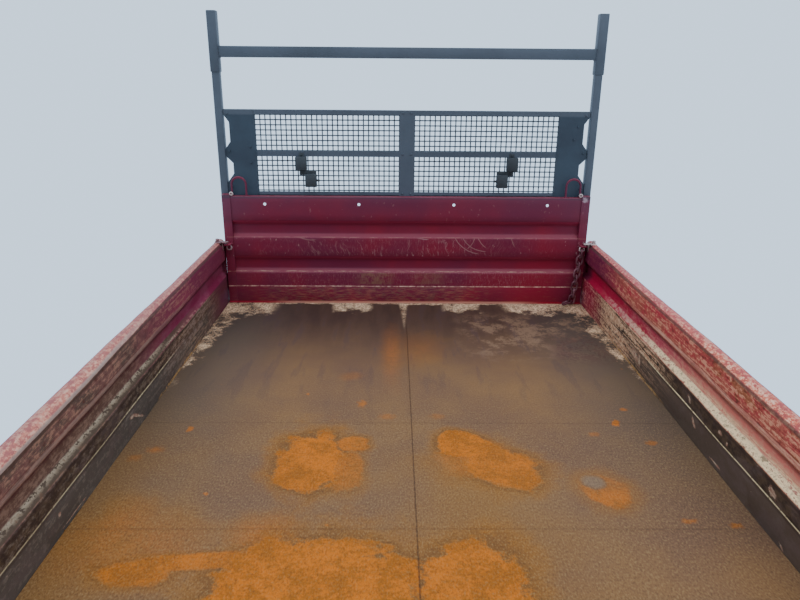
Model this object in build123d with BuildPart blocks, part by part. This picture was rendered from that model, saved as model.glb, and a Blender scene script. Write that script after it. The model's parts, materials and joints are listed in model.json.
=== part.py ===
from build123d import *
import os
from math import atan2, cos, degrees, hypot, radians, sin

os.makedirs("parts", exist_ok=True)

# Tipping body of a light dump truck on the subframe that bolts it to a chassis, bed raised.
# Millimetres. X to the right seen from the tail, Y forwards, Z up.
# Every piece is first made level: Y 0 at the tipping hinge, Z 0 at the subframe's underside.
# Heights above the floor are written FLOOR + height. Then the bed is turned up about its hinge.

# Driving dimensions of the bed
TIP = 45  # degrees between the raised bed and the subframe
SIDE_X = 1005  # inner face of a dropside
BED_LENGTH = 3100  # floor, tail edge to headboard
OVERHANG = 150  # floor behind the hinge
SIDE_HEIGHT = 355  # rim above the floor
HEAD_HEIGHT = 604  # headboard above the floor
SHEET = 3  # pressed sheet
FLOOR_SHEET = 4
GROOVE_DEPTH = 21  # pressed groove, with 45 degree slopes
BEND = 7  # radius on the outside of a pressed bend

# Driving dimensions of what carries it
RAIL_X = 380  # middle of a subframe rail and of the bearer above it
RAIL_WIDTH = 60
RAIL_HEIGHT = 140
RAIL_WALL = 5
RAIL_REAR = 40  # rails start this far ahead of the hinge
SUBFRAME_FRONT = 2900
HINGE_Z = 165
PIN_R = 15
BEARER_WIDTH = 50
BEARER_HEIGHT = 120
BEARER_WALL = 5
PAD = 6  # rubber landing pad on a rail
PAD_GAP = 6  # pad to bearer
CROSS_WIDTH = 50  # cross bearer under the floor
CROSS_HEIGHT = 60
CROSS_WALL = 4
RUNNING = 0.05  # radial clearance of a pin in its bore
CLEAR = 5  # between pieces that move past each other

# Levels and edges that follow
BEARER_Z = RAIL_HEIGHT + PAD + PAD_GAP
CROSS_Z = BEARER_Z + BEARER_HEIGHT
FLOOR = CROSS_Z + CROSS_HEIGHT + FLOOR_SHEET
TAIL = -OVERHANG
HEAD = BED_LENGTH - OVERHANG
FLOOR_X = SIDE_X - CLEAR
WEB_X = RAIL_X + RAIL_WIDTH / 2 - RAIL_WALL  # inner face of a rail's web

# Ram under the bed: nested stages, upright when the bed is down
RAM_Y = 750
RAM_BASE_Z = 50
RAM_EYE_Z = 284
RAM_STAGES = 4

raised_y = RAM_Y * cos(radians(TIP)) - (RAM_EYE_Z - HINGE_Z) * sin(radians(TIP))
raised_z = RAM_Y * sin(radians(TIP)) + (RAM_EYE_Z - HINGE_Z) * cos(radians(TIP)) + HINGE_Z
RAM_LEAN = degrees(atan2(RAM_Y - raised_y, raised_z - RAM_BASE_Z))
RAM_CLOSED = RAM_EYE_Z - RAM_BASE_Z
RAM_STROKE = (hypot(RAM_Y - raised_y, raised_z - RAM_BASE_Z) - RAM_CLOSED) / RAM_STAGES

# The tailboard's rim is the rearmost edge of the raised bed, the subframe's end the foremost
TAILBOARD_Y = TAIL - 8  # inner face
TAILBOARD_DEPTH = 37
REAR_EDGE = (
    (TAILBOARD_Y - TAILBOARD_DEPTH) * cos(radians(TIP))
    - (FLOOR + SIDE_HEIGHT - HINGE_Z) * sin(radians(TIP))
)
HINGE_Y = -(SUBFRAME_FRONT + REAR_EDGE) / 2

FIXED = Location((0, HINGE_Y, 0))
RAISED = Location((0, HINGE_Y, HINGE_Z), (TIP, 0, 0)) * Location((0, 0, -HINGE_Z))
RAM = Location((0, HINGE_Y + RAM_Y, RAM_BASE_Z), (RAM_LEAN, 0, 0))


def save(piece, name, place):
    """Put a finished piece in its place and write it."""
    finished = piece.moved(place)
    finished.label = name
    export_step(finished, f"parts/{name}.step")


def save_pair(piece, name, place):
    """Write a right-hand piece and its left-hand twin."""
    with BuildPart() as twin:
        mirror(piece, about=Plane.YZ)
    save(piece, name + "_right", place)
    save(twin.part, name + "_left", place)


# Subframe rails: channels open towards the middle
with BuildPart() as subframe_rail:
    with BuildSketch(Plane.XZ.offset(-RAIL_REAR)):
        with Locations((RAIL_X, RAIL_HEIGHT / 2)):
            Rectangle(RAIL_WIDTH, RAIL_HEIGHT)
        with Locations((RAIL_X - RAIL_WALL, RAIL_HEIGHT / 2)):
            Rectangle(RAIL_WIDTH, RAIL_HEIGHT - 2 * RAIL_WALL, mode=Mode.SUBTRACT)
    extrude(amount=RAIL_REAR - SUBFRAME_FRONT)
save_pair(subframe_rail.part, "subframe_rail", FIXED)

# Crossmembers: box tubes between the rails' webs
CROSSMEMBER_YS = (260, 1250, 1800, 2350, 2850)
with BuildPart() as subframe_crossmembers:
    for y in CROSSMEMBER_YS:
        with BuildSketch(Plane.YZ.offset(-WEB_X)):
            with Locations((y, RAIL_HEIGHT / 2)):
                Rectangle(60, 80)
                Rectangle(52, 72, mode=Mode.SUBTRACT)
        extrude(amount=2 * WEB_X)
save(subframe_crossmembers.part, "subframe_crossmembers", FIXED)

# Tipping hinge brackets: two ears on each rail's end, with the pin through them
EAR = 12
with BuildPart() as hinge_bracket:
    for ear_x in (RAIL_X - RAIL_WIDTH / 2 - EAR, RAIL_X + RAIL_WIDTH / 2):
        with BuildSketch(Plane.YZ.offset(ear_x)):
            with Locations((0, HINGE_Z)):
                Circle(35)
            with Locations((140, 70)):
                Rectangle(160, 100)
            make_hull()
        extrude(amount=EAR)
    with BuildSketch(Plane.YZ.offset(RAIL_X - RAIL_WIDTH / 2 - EAR - 8)):
        with Locations((0, HINGE_Z)):
            Circle(PIN_R)
    extrude(amount=RAIL_WIDTH + 2 * (EAR + 8))
save_pair(hinge_bracket.part, "hinge_bracket", FIXED)

# Rubber pads that the bearers land on
with BuildPart() as landing_pads:
    with BuildSketch(Plane.XY.offset(RAIL_HEIGHT)):
        for y in (420, 1500, 2600):
            with Locations((RAIL_X, y), (-RAIL_X, y)):
                Rectangle(RAIL_WIDTH, 120)
    extrude(amount=PAD)
save(landing_pads.part, "landing_pads", FIXED)

# Cleats: a foot with two bolt holes, an upright on the rail and a gusset
CLEAT_YS = (400, 1050, 1900, 2600)
CLEAT_HOLE_X = 445
CLEAT_HOLE_PITCH = 70
CLEAT_HOLE_R = 8.5
CLEAT_X = RAIL_X + RAIL_WIDTH / 2
with BuildPart() as chassis_cleats:
    for y in CLEAT_YS:
        with BuildSketch(Plane.XY):
            with Locations((CLEAT_X + 35, y)):
                Rectangle(70, 120)
            with Locations(*[(CLEAT_HOLE_X, y + side * CLEAT_HOLE_PITCH / 2) for side in (-1, 1)]):
                Circle(CLEAT_HOLE_R, mode=Mode.SUBTRACT)
        extrude(amount=8)
        with BuildSketch(Plane.XY.offset(8)):
            with Locations((CLEAT_X + 4, y)):
                Rectangle(8, 120)
        extrude(amount=102)
        with BuildSketch(Plane.XZ.offset(-y)):
            Polygon((CLEAT_X + 8, 8), (CLEAT_X + 66, 8), (CLEAT_X + 8, 96), align=None)
        extrude(amount=4, both=True)
    mirror(about=Plane.YZ)
save(chassis_cleats.part, "chassis_cleats", FIXED)

# Cradle that holds the ram's trunnions between the rails
CRADLE_Y = 120  # tube to ram
ARM_X = 74
TRUNNION_R = 14
with BuildPart() as ram_cradle:
    for y in (RAM_Y - CRADLE_Y, RAM_Y + CRADLE_Y):
        with BuildSketch(Plane.YZ.offset(-WEB_X)):
            with Locations((y, RAM_BASE_Z)):
                Rectangle(50, 60)
                Rectangle(42, 52, mode=Mode.SUBTRACT)
        extrude(amount=2 * WEB_X)
    with BuildSketch(Plane.YZ.offset(ARM_X)):
        with Locations((RAM_Y, RAM_BASE_Z)):
            Rectangle(2 * CRADLE_Y - 50, 60)
            Circle(TRUNNION_R + RUNNING, mode=Mode.SUBTRACT)
    extrude(amount=EAR)
    with BuildSketch(Plane.YZ.offset(-ARM_X - EAR)):
        with Locations((RAM_Y, RAM_BASE_Z)):
            Rectangle(2 * CRADLE_Y - 50, 60)
            Circle(TRUNNION_R + RUNNING, mode=Mode.SUBTRACT)
    extrude(amount=EAR)
save(ram_cradle.part, "ram_cradle", FIXED)

# Bearers: box tubes along the bed, each with the hinge boss near its tail and a hole for the
# shaft that carries the tailboard's claws
BOSS_LENGTH = RAIL_WIDTH - 2
SHAFT_R = 12
SHAFT_Y = TAIL + 32
SHAFT_Z = CROSS_Z - 19
with BuildPart() as bearer:
    with BuildSketch(Plane.XZ.offset(-TAIL)):
        with Locations((RAIL_X, BEARER_Z + BEARER_HEIGHT / 2)):
            Rectangle(BEARER_WIDTH, BEARER_HEIGHT)
            Rectangle(BEARER_WIDTH - 2 * BEARER_WALL, BEARER_HEIGHT - 2 * BEARER_WALL, mode=Mode.SUBTRACT)
    extrude(amount=TAIL - HEAD)
    with BuildSketch(Plane.YZ.offset(RAIL_X - BOSS_LENGTH / 2)):
        with Locations((0, HINGE_Z)):
            Circle(30)
    extrude(amount=BOSS_LENGTH)
    with BuildSketch(Plane.YZ.offset(RAIL_X - BOSS_LENGTH / 2)):
        with Locations((0, HINGE_Z)):
            Circle(PIN_R + RUNNING)
        with Locations((SHAFT_Y, SHAFT_Z)):
            Circle(SHAFT_R + 1)
    extrude(amount=BOSS_LENGTH, mode=Mode.SUBTRACT)
save_pair(bearer.part, "bearer", RAISED)

# Cross bearers: channels open to the floor plate, with room left for the ram's head
RAVE_WIDTH = 52
RAVE_X = FLOOR_X - RAVE_WIDTH  # inner edge of a side rave
CROSS_PITCH = 305
AT_RAM = 210
CROSS_YS = [RAM_Y - AT_RAM - CROSS_PITCH * n for n in range(3)]
CROSS_YS += [RAM_Y + AT_RAM + CROSS_PITCH * n for n in range(7)]
with BuildPart() as cross_bearers:
    for y in CROSS_YS:
        with BuildSketch(Plane.YZ.offset(-RAVE_X)):
            with Locations((y, CROSS_Z + CROSS_HEIGHT / 2)):
                Rectangle(CROSS_WIDTH, CROSS_HEIGHT)
            with Locations((y, CROSS_Z + CROSS_HEIGHT / 2 + CROSS_WALL)):
                Rectangle(CROSS_WIDTH - 2 * CROSS_WALL, CROSS_HEIGHT, mode=Mode.SUBTRACT)
        extrude(amount=2 * RAVE_X)
save(cross_bearers.part, "cross_bearers", RAISED)

# Raves: channels along the floor's edges
POST_DEPTH = 40  # headboard post behind the headboard's face
with BuildPart() as rave:
    with BuildSketch(Plane.XZ.offset(-TAIL)):
        with Locations((FLOOR_X - RAVE_WIDTH / 2, FLOOR - FLOOR_SHEET - CROSS_HEIGHT / 2)):
            Rectangle(RAVE_WIDTH, CROSS_HEIGHT)
        with Locations((FLOOR_X - RAVE_WIDTH / 2 - CROSS_WALL, FLOOR - FLOOR_SHEET - CROSS_HEIGHT / 2)):
            Rectangle(RAVE_WIDTH, CROSS_HEIGHT - 2 * CROSS_WALL, mode=Mode.SUBTRACT)
    extrude(amount=TAIL - HEAD - POST_DEPTH)
save_pair(rave.part, "rave", RAISED)

# Rear beam: box tube under the floor's tail edge
with BuildPart() as rear_beam:
    with BuildSketch(Plane.YZ.offset(-RAVE_X)):
        with Locations((TAIL + CROSS_WIDTH / 2, FLOOR - FLOOR_SHEET - CROSS_HEIGHT / 2)):
            Rectangle(CROSS_WIDTH, CROSS_HEIGHT)
            Rectangle(CROSS_WIDTH - 2 * CROSS_WALL, CROSS_HEIGHT - 2 * CROSS_WALL, mode=Mode.SUBTRACT)
    extrude(amount=2 * RAVE_X)
save(rear_beam.part, "rear_beam", RAISED)

# Ram beam: two box tubes between the bearers and the ears that the ram's eye turns in
BEARER_IN = RAIL_X - BEARER_WIDTH / 2
EYE_EAR_X = 36
EYE_BOSS_R = 20
with BuildPart() as ram_beam:
    for y in (RAM_Y - 125, RAM_Y + 125):
        with BuildSketch(Plane.YZ.offset(-BEARER_IN)):
            with Locations((y, CROSS_Z - 30)):
                Rectangle(50, 60)
                Rectangle(42, 52, mode=Mode.SUBTRACT)
        extrude(amount=2 * BEARER_IN)
    with BuildSketch(Plane.YZ.offset(EYE_EAR_X)):
        with Locations((RAM_Y, RAM_EYE_Z + 4)):
            Rectangle(200, 80)
    extrude(amount=EAR)
    with BuildSketch(Plane.YZ.offset(EYE_EAR_X + EAR)):
        with Locations((RAM_Y, RAM_EYE_Z)):
            Circle(EYE_BOSS_R)
    extrude(amount=10)
    with BuildSketch(Plane.YZ.offset(-EYE_EAR_X - EAR)):
        with Locations((RAM_Y, RAM_EYE_Z + 4)):
            Rectangle(200, 80)
    extrude(amount=EAR)
    with BuildSketch(Plane.YZ.offset(-EYE_EAR_X - EAR - 10)):
        with Locations((RAM_Y, RAM_EYE_Z)):
            Circle(EYE_BOSS_R)
    extrude(amount=10)
save(ram_beam.part, "ram_beam", RAISED)

# Floor plate with the groove of its middle weld seam
with BuildPart() as floor_plate:
    with BuildSketch(Plane.XY.offset(FLOOR - FLOOR_SHEET)):
        with Locations((0, TAIL + BED_LENGTH / 2)):
            Rectangle(2 * FLOOR_X, BED_LENGTH)
    extrude(amount=FLOOR_SHEET)
    with BuildSketch(Plane.XY.offset(FLOOR)):
        with Locations((0, TAIL + BED_LENGTH / 2)):
            Rectangle(6, BED_LENGTH)
    extrude(amount=-1.5, mode=Mode.SUBTRACT)
save(floor_plate.part, "floor_plate", RAISED)

# Headboard: one pressed sheet with two grooves and a hem folded forwards, a wear strip along
# its foot, and stiffeners on the cab side
HEAD_X = 948
HEM = 40
GROOVES = (177, 376)  # lower edge of each groove
GROOVE_HEIGHT = 94
HOLE_XS = (-765, -257, 257, 765)
HOLE_HEIGHT = 562
WEAR_HEIGHT = 100
WEAR_SHEET = 3
head_path = [(HEAD, CROSS_Z)]
for low in GROOVES:
    head_path += [
        (HEAD, FLOOR + low),
        (HEAD + GROOVE_DEPTH, FLOOR + low + GROOVE_DEPTH),
        (HEAD + GROOVE_DEPTH, FLOOR + low + GROOVE_HEIGHT - GROOVE_DEPTH),
        (HEAD, FLOOR + low + GROOVE_HEIGHT),
    ]
head_path += [
    (HEAD, FLOOR + HEAD_HEIGHT),
    (HEAD + HEM, FLOOR + HEAD_HEIGHT),
    (HEAD + HEM, FLOOR + HEAD_HEIGHT - 30),
]
with BuildPart() as headboard:
    with BuildSketch(Plane.YZ.offset(-HEAD_X)):
        with BuildLine():
            FilletPolyline(*head_path, radius=BEND)
            offset(amount=SHEET, side=Side.RIGHT, kind=Kind.INTERSECTION)
        make_face()
    extrude(amount=2 * HEAD_X)
    with BuildSketch(Plane.XZ.offset(-HEAD - SHEET)):
        with Locations(*[(x, FLOOR + HOLE_HEIGHT) for x in HOLE_XS]):
            Circle(7)
    extrude(amount=SHEET, mode=Mode.SUBTRACT)
    with BuildSketch(Plane.XZ.offset(-HEAD)):
        with Locations((0, FLOOR + WEAR_HEIGHT / 2)):
            Rectangle(2 * HEAD_X, WEAR_HEIGHT)
    extrude(amount=WEAR_SHEET)
    with BuildSketch(Plane.XZ.offset(-HEAD - HEM)):
        for x in (-500, 0, 500):
            with Locations((x, FLOOR + 270)):
                Rectangle(50, 620)
    extrude(amount=HEM - GROOVE_DEPTH - SHEET)
save(headboard.part, "headboard", RAISED)

# Headboard posts: box tubes with a strip on the bed side, the keeper of the side latch and
# under it an eye for a chain
HEAD_POST = 48
POST_TOP = HEAD_HEIGHT + 8
KEEPER_TOP = SIDE_HEIGHT - 7
KEEPER = 6
EYE_X = 966
EYE_Y = HEAD - 32
EYE_R = 16
EYE_HOLE_R = 9
EYE_Z = FLOOR + KEEPER_TOP - KEEPER - EYE_R + 2
with BuildPart() as headboard_post:
    with BuildSketch(Plane.XY.offset(FLOOR - FLOOR_SHEET)):
        with Locations((HEAD_X + HEAD_POST / 2, HEAD + POST_DEPTH / 2)):
            Rectangle(HEAD_POST, POST_DEPTH)
            Rectangle(HEAD_POST - 8, POST_DEPTH - 8, mode=Mode.SUBTRACT)
    extrude(amount=POST_TOP + FLOOR_SHEET)
    with BuildSketch(Plane.XY.offset(FLOOR + POST_TOP - 4)):
        with Locations((HEAD_X + HEAD_POST / 2, HEAD + POST_DEPTH / 2)):
            Rectangle(HEAD_POST, POST_DEPTH)
    extrude(amount=4)
    with BuildSketch(Plane.XZ.offset(-HEAD)):
        with Locations((HEAD_X + 23, FLOOR + POST_TOP / 2)):
            Rectangle(46, POST_TOP)
    extrude(amount=5)
    with BuildSketch(Plane.XZ.offset(-HEAD + 5)):
        with Locations((EYE_X + 6, FLOOR + KEEPER_TOP - KEEPER / 2)):
            Rectangle(36, KEEPER)
    extrude(amount=45)
    with BuildSketch(Plane.XZ.offset(-EYE_Y - 5)):
        with Locations((EYE_X, EYE_Z)):
            Circle(EYE_R)
            Circle(EYE_HOLE_R, mode=Mode.SUBTRACT)
    extrude(amount=10)
save_pair(headboard_post.part, "headboard_post", RAISED)

# Rear posts: box tubes on the floor's tail corners, with the plate that the tailboard hangs in
REAR_POST = 45
REAR_POST_TOP = SIDE_HEIGHT - 8
TAIL_PIVOT_Y = TAIL - 26
TAIL_PIVOT_HEIGHT = 340
TAIL_PIN_R = 10
REAR_POST_X = FLOOR_X - 4  # outer face
with BuildPart() as rear_post:
    with BuildSketch(Plane.XY.offset(FLOOR)):
        with Locations((REAR_POST_X - REAR_POST / 2, TAIL + 30)):
            Rectangle(REAR_POST, 50)
            Rectangle(REAR_POST - 8, 42, mode=Mode.SUBTRACT)
    extrude(amount=REAR_POST_TOP)
    with BuildSketch(Plane.XY.offset(FLOOR + REAR_POST_TOP - 4)):
        with Locations((REAR_POST_X - REAR_POST / 2, TAIL + 30)):
            Rectangle(REAR_POST, 50)
    extrude(amount=4)
    with BuildSketch(Plane.YZ.offset(REAR_POST_X - EAR)):
        with Locations((TAIL_PIVOT_Y, FLOOR + TAIL_PIVOT_HEIGHT)):
            Circle(24)
        with Locations((TAIL + 8, FLOOR + TAIL_PIVOT_HEIGHT - 40)):
            Rectangle(6, 90)
        make_hull()
        with Locations((TAIL_PIVOT_Y, FLOOR + TAIL_PIVOT_HEIGHT)):
            Circle(TAIL_PIN_R + RUNNING, mode=Mode.SUBTRACT)
    extrude(amount=EAR)
save_pair(rear_post.part, "rear_post", RAISED)

# Ladder rack: uprights on the headboard posts, and a goalpost whose sleeves slide over them
RACK_Y = HEAD + POST_DEPTH  # rear face of an upright
UPRIGHT = 40
UPRIGHT_OUT = 1006
SLEEVE_WALL = 4
SLEEVE_LOW = 1234
RACK_TOP = 1526
BAR_LOW = 1306
BAR_HEIGHT = 54
UPRIGHT_X = UPRIGHT_OUT - UPRIGHT / 2
with BuildPart() as rack_upright:
    with BuildSketch(Plane.XY.offset(FLOOR + 60)):
        with Locations((UPRIGHT_X, RACK_Y + UPRIGHT / 2)):
            Rectangle(UPRIGHT, UPRIGHT)
            Rectangle(UPRIGHT - 6, UPRIGHT - 6, mode=Mode.SUBTRACT)
    extrude(amount=BAR_LOW - 60)
save_pair(rack_upright.part, "rack_upright", RAISED)

SLEEVE = UPRIGHT + 2 * SLEEVE_WALL
with BuildPart() as rack_goalpost:
    with BuildSketch(Plane.XY.offset(FLOOR + SLEEVE_LOW)):
        with Locations((UPRIGHT_X, RACK_Y + UPRIGHT / 2), (-UPRIGHT_X, RACK_Y + UPRIGHT / 2)):
            Rectangle(SLEEVE, SLEEVE)
            Rectangle(UPRIGHT, UPRIGHT, mode=Mode.SUBTRACT)
    extrude(amount=RACK_TOP - SLEEVE_LOW)
    with BuildSketch(Plane.XY.offset(FLOOR + RACK_TOP - SLEEVE_WALL)):
        with Locations((UPRIGHT_X, RACK_Y + UPRIGHT / 2), (-UPRIGHT_X, RACK_Y + UPRIGHT / 2)):
            Rectangle(SLEEVE, SLEEVE)
    extrude(amount=SLEEVE_WALL)
    with BuildSketch(Plane.YZ.offset(-UPRIGHT_X + SLEEVE / 2)):
        with Locations((RACK_Y + UPRIGHT / 2, FLOOR + BAR_LOW + BAR_HEIGHT / 2)):
            Rectangle(SLEEVE, BAR_HEIGHT)
            Rectangle(SLEEVE - 6, BAR_HEIGHT - 6, mode=Mode.SUBTRACT)
    extrude(amount=2 * UPRIGHT_X - SLEEVE)
save(rack_goalpost.part, "rack_goalpost", RAISED)

# Guard: one plate with windows, notched beside the uprights, with rails on its bed side
GUARD_Y = RACK_Y + 10
GUARD_SHEET = 4
GUARD_LOW = 570
GUARD_TOP = 1051
GUARD_OUT = UPRIGHT_OUT - UPRIGHT  # touches the uprights
WINDOW_X = 803
CENTRE_POST = 40  # half width
GUARD_RAILS = ((607, 623), (811, 840), (1027, GUARD_TOP))  # low, high
NOTCHES = (  # how far in, then the heights at the upright, at the notch, and back
    (930, 670, 717, 773, 809),
    (938, 847, 885, 985, 1026),
)
edge = [(GUARD_OUT, FLOOR + GUARD_LOW)]
for inner_x, low, inner_low, inner_high, high in NOTCHES:
    edge += [
        (GUARD_OUT, FLOOR + low),
        (inner_x, FLOOR + inner_low),
        (inner_x, FLOOR + inner_high),
        (GUARD_OUT, FLOOR + high),
    ]
edge += [(GUARD_OUT, FLOOR + GUARD_TOP)]
windows = (
    (GUARD_LOW, GUARD_RAILS[0][0]),
    (GUARD_RAILS[0][1], GUARD_RAILS[1][0]),
    (GUARD_RAILS[1][1], GUARD_RAILS[2][0]),
)
with BuildPart() as guard_frame:
    with BuildSketch(Plane.XZ.offset(-GUARD_Y - GUARD_SHEET)):
        with BuildLine():
            Polyline(*edge, *[(-x, z) for x, z in reversed(edge)], close=True)
        make_face()
        for low, high in windows:
            for side in (-1, 1):
                with Locations((side * (WINDOW_X + CENTRE_POST) / 2, FLOOR + (low + high) / 2)):
                    Rectangle(WINDOW_X - CENTRE_POST, high - low, mode=Mode.SUBTRACT)
    extrude(amount=GUARD_SHEET)
    with BuildSketch(Plane.XZ.offset(-GUARD_Y)):
        for low, high in GUARD_RAILS:
            with Locations((0, FLOOR + (low + high) / 2)):
                Rectangle(2 * WINDOW_X, high - low)
        with Locations((0, FLOOR + (GUARD_LOW + GUARD_TOP) / 2)):
            Rectangle(2 * CENTRE_POST, GUARD_TOP - GUARD_LOW)
    extrude(amount=8)
    with BuildSketch(Plane.XY.offset(FLOOR + GUARD_TOP)):
        with Locations((0, GUARD_Y + 14)):
            Rectangle(2 * GUARD_OUT, 28)
    extrude(amount=-4)
save(guard_frame.part, "guard_frame", RAISED)

# Guard mesh: cross wires and upright wires lie on each other, each set held by end strips
WIRE = 6.5
STRIP = 8
MESH_X = 806
MESH_LOW = GUARD_LOW + 4
MESH_TOP = GUARD_TOP - 8
COLUMN_PITCH = 27.3
ROW_PITCH = 26.5
FIRST_ROW = 602
MESH_Y = GUARD_Y + GUARD_SHEET
columns = [side * (CENTRE_POST + COLUMN_PITCH * (n + 0.5)) for n in range(28) for side in (-1, 1)]
rows = [FIRST_ROW + ROW_PITCH * (n + 0.5) for n in range(16)]
with BuildPart() as guard_mesh_cross_wires:
    with BuildSketch(Plane.XZ.offset(-MESH_Y - WIRE)):
        with Locations((0, FLOOR + (MESH_LOW + MESH_TOP) / 2)):
            Rectangle(2 * MESH_X, MESH_TOP - MESH_LOW)
        with Locations(*[(0, FLOOR + z) for z in rows]):
            Rectangle(2 * (MESH_X - STRIP), ROW_PITCH - WIRE, mode=Mode.SUBTRACT)
    extrude(amount=WIRE)
save(guard_mesh_cross_wires.part, "guard_mesh_cross_wires", RAISED)

with BuildPart() as guard_mesh_uprights:
    with BuildSketch(Plane.XZ.offset(-MESH_Y - 2 * WIRE)):
        with Locations((0, FLOOR + (MESH_LOW + MESH_TOP) / 2)):
            Rectangle(2 * MESH_X, MESH_TOP - MESH_LOW)
        with Locations(*[(x, FLOOR + (MESH_LOW + MESH_TOP) / 2) for x in columns]):
            Rectangle(COLUMN_PITCH - WIRE, MESH_TOP - MESH_LOW - 2 * STRIP, mode=Mode.SUBTRACT)
    extrude(amount=WIRE)
save(guard_mesh_uprights.part, "guard_mesh_uprights", RAISED)

# Work lamps: two small square heads on one strap that hangs from the guard's middle rail
LAMP_Y = GUARD_Y - 8  # front face of the rails
LAMP = 62
LAMP_DEPTH = 36
LAMP_HEADS = ((563, 765), (498, 688))  # x and height of each head's middle
with BuildPart() as work_lamp:
    with BuildSketch(Plane.XZ.offset(-LAMP_Y)):
        with Locations((LAMP_HEADS[0][0], FLOOR + 784)):
            Rectangle(26, 96)
        with Locations(((LAMP_HEADS[0][0] + LAMP_HEADS[1][0]) / 2, FLOOR + 727)):
            Rectangle(90, 26)
    extrude(amount=4)
    for x, z in LAMP_HEADS:
        with BuildSketch(Plane.XZ.offset(-LAMP_Y + 4)):
            with Locations((x, FLOOR + z)):
                RectangleRounded(LAMP, LAMP + 8, 6)
        extrude(amount=LAMP_DEPTH, taper=4)
save_pair(work_lamp.part, "work_lamp", RAISED)

# Rope loops: bent rod on the headboard's hem
ROD_R = 5.5
LOOP_XS = (864, 941)
LOOP_TOP = 702
LOOP_R = (LOOP_XS[1] - LOOP_XS[0]) / 2
LOOP_Y = HEAD + HEM / 2
with BuildPart() as rope_loops:
    with BuildLine(Plane.XZ.offset(-LOOP_Y)) as loop_path:
        leg_in = Line((LOOP_XS[0], FLOOR + HEAD_HEIGHT), (LOOP_XS[0], FLOOR + LOOP_TOP - LOOP_R))
        bend = TangentArc(leg_in @ 1, (LOOP_XS[1], FLOOR + LOOP_TOP - LOOP_R), tangent=leg_in % 1)
        Line(bend @ 1, (LOOP_XS[1], FLOOR + HEAD_HEIGHT))
    with BuildSketch(Plane((LOOP_XS[0], LOOP_Y, FLOOR + HEAD_HEIGHT), z_dir=(0, 0, 1))):
        Circle(ROD_R)
    sweep()
    mirror(about=Plane.YZ)
save(rope_loops.part, "rope_loops", RAISED)

# Corner chain: flat-made links, every second one turned, from the right eye down to the floor,
# where the last one lies
LINK_LENGTH = 62.5
LINK_WIDTH = 42
LINK_ROD = 11
LINK_PITCH = LINK_LENGTH - 2 * LINK_ROD - 2.6
LINKS = 8
LEAN = radians(5.7)  # inwards on the way down
SLOPE = radians(20)  # of the lying link
down = Vector(-sin(LEAN), 0, -cos(LEAN))
across = Vector(cos(LEAN), 0, -sin(LEAN))
first = Vector(EYE_X, EYE_Y, EYE_Z) + down * ((LINK_LENGTH - LINK_ROD) / 2)
lying = Vector(-cos(SLOPE), 0, -sin(SLOPE))
end_rod = first + down * (LINK_PITCH * (LINKS - 1) + 12)  # the lying link's rod in the last loop
links = [  # middle, the way it is long, the way its flat side faces
    (first + down * LINK_PITCH * n, down, Vector(0, 1, 0) if n % 2 else across)
    for n in range(LINKS)
]
links.append((end_rod + lying * (LINK_LENGTH - LINK_ROD) / 2, lying, Vector(-sin(SLOPE), 0, cos(SLOPE))))
with BuildPart() as corner_chain:
    for middle, long_way, face in links:
        with BuildSketch(Plane(middle, x_dir=long_way, z_dir=face)):
            for inwards, mode in ((0, Mode.ADD), (LINK_ROD, Mode.SUBTRACT)):
                half_long = LINK_LENGTH / 2 - inwards
                half_wide = LINK_WIDTH / 2 - inwards
                corner = half_wide / 2  # cut off each corner
                Polygon(
                    (half_long - corner, half_wide),
                    (half_long, half_wide - corner),
                    (half_long, corner - half_wide),
                    (half_long - corner, -half_wide),
                    (corner - half_long, -half_wide),
                    (-half_long, corner - half_wide),
                    (-half_long, half_wide - corner),
                    (corner - half_long, half_wide),
                    align=None,
                    mode=mode,
                )
        extrude(amount=LINK_ROD / 2, both=True)
save(corner_chain.part, "corner_chain", RAISED)

# Side hinges: lugs with a pin on each rave, and straps with an eye on the dropside
SIDE_HINGE_X = 1025
SIDE_HINGE_Z = FLOOR - 28
SIDE_PIN_R = 8
STRAP_WIDTH = 50
STRAP_YS = [150 + 660 * n for n in range(5)]
with BuildPart() as side_hinges:
    for y in STRAP_YS:
        for ear_y in (y - STRAP_WIDTH / 2 - 1, y + STRAP_WIDTH / 2 + 11):
            with BuildSketch(Plane.XZ.offset(-ear_y)):
                with Locations((SIDE_HINGE_X, SIDE_HINGE_Z)):
                    Circle(13)
                with Locations((FLOOR_X + 3, SIDE_HINGE_Z - 8)):
                    Rectangle(6, 40)
                make_hull()
            extrude(amount=10)
        with BuildSketch(Plane.XZ.offset(-y - STRAP_WIDTH / 2 - 11)):
            with Locations((SIDE_HINGE_X, SIDE_HINGE_Z)):
                Circle(SIDE_PIN_R)
        extrude(amount=STRAP_WIDTH + 22)
save_pair(side_hinges.part, "side_hinges", RAISED)

# Dropsides: one pressed sheet with a groove and a rolled rim, end plates, wear strip and straps
RIM_X = 1042
RIM_HEIGHT = 45
SIDE_BOTTOM = -8
SIDE_GROOVE = 157
SIDE_REAR = TAIL + 2
SIDE_FRONT = HEAD + POST_DEPTH - 2
side_path = [
    (SIDE_X, FLOOR + SIDE_BOTTOM),
    (SIDE_X, FLOOR + SIDE_GROOVE),
    (SIDE_X + GROOVE_DEPTH, FLOOR + SIDE_GROOVE + GROOVE_DEPTH),
    (SIDE_X + GROOVE_DEPTH, FLOOR + SIDE_GROOVE + GROOVE_HEIGHT - GROOVE_DEPTH),
    (SIDE_X, FLOOR + SIDE_GROOVE + GROOVE_HEIGHT),
    (SIDE_X, FLOOR + SIDE_HEIGHT - 18),
    (SIDE_X + 18, FLOOR + SIDE_HEIGHT),
    (RIM_X, FLOOR + SIDE_HEIGHT),
    (RIM_X, FLOOR + SIDE_HEIGHT - RIM_HEIGHT),
    (SIDE_X + 4 * SHEET, FLOOR + SIDE_HEIGHT - RIM_HEIGHT),
]
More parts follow.
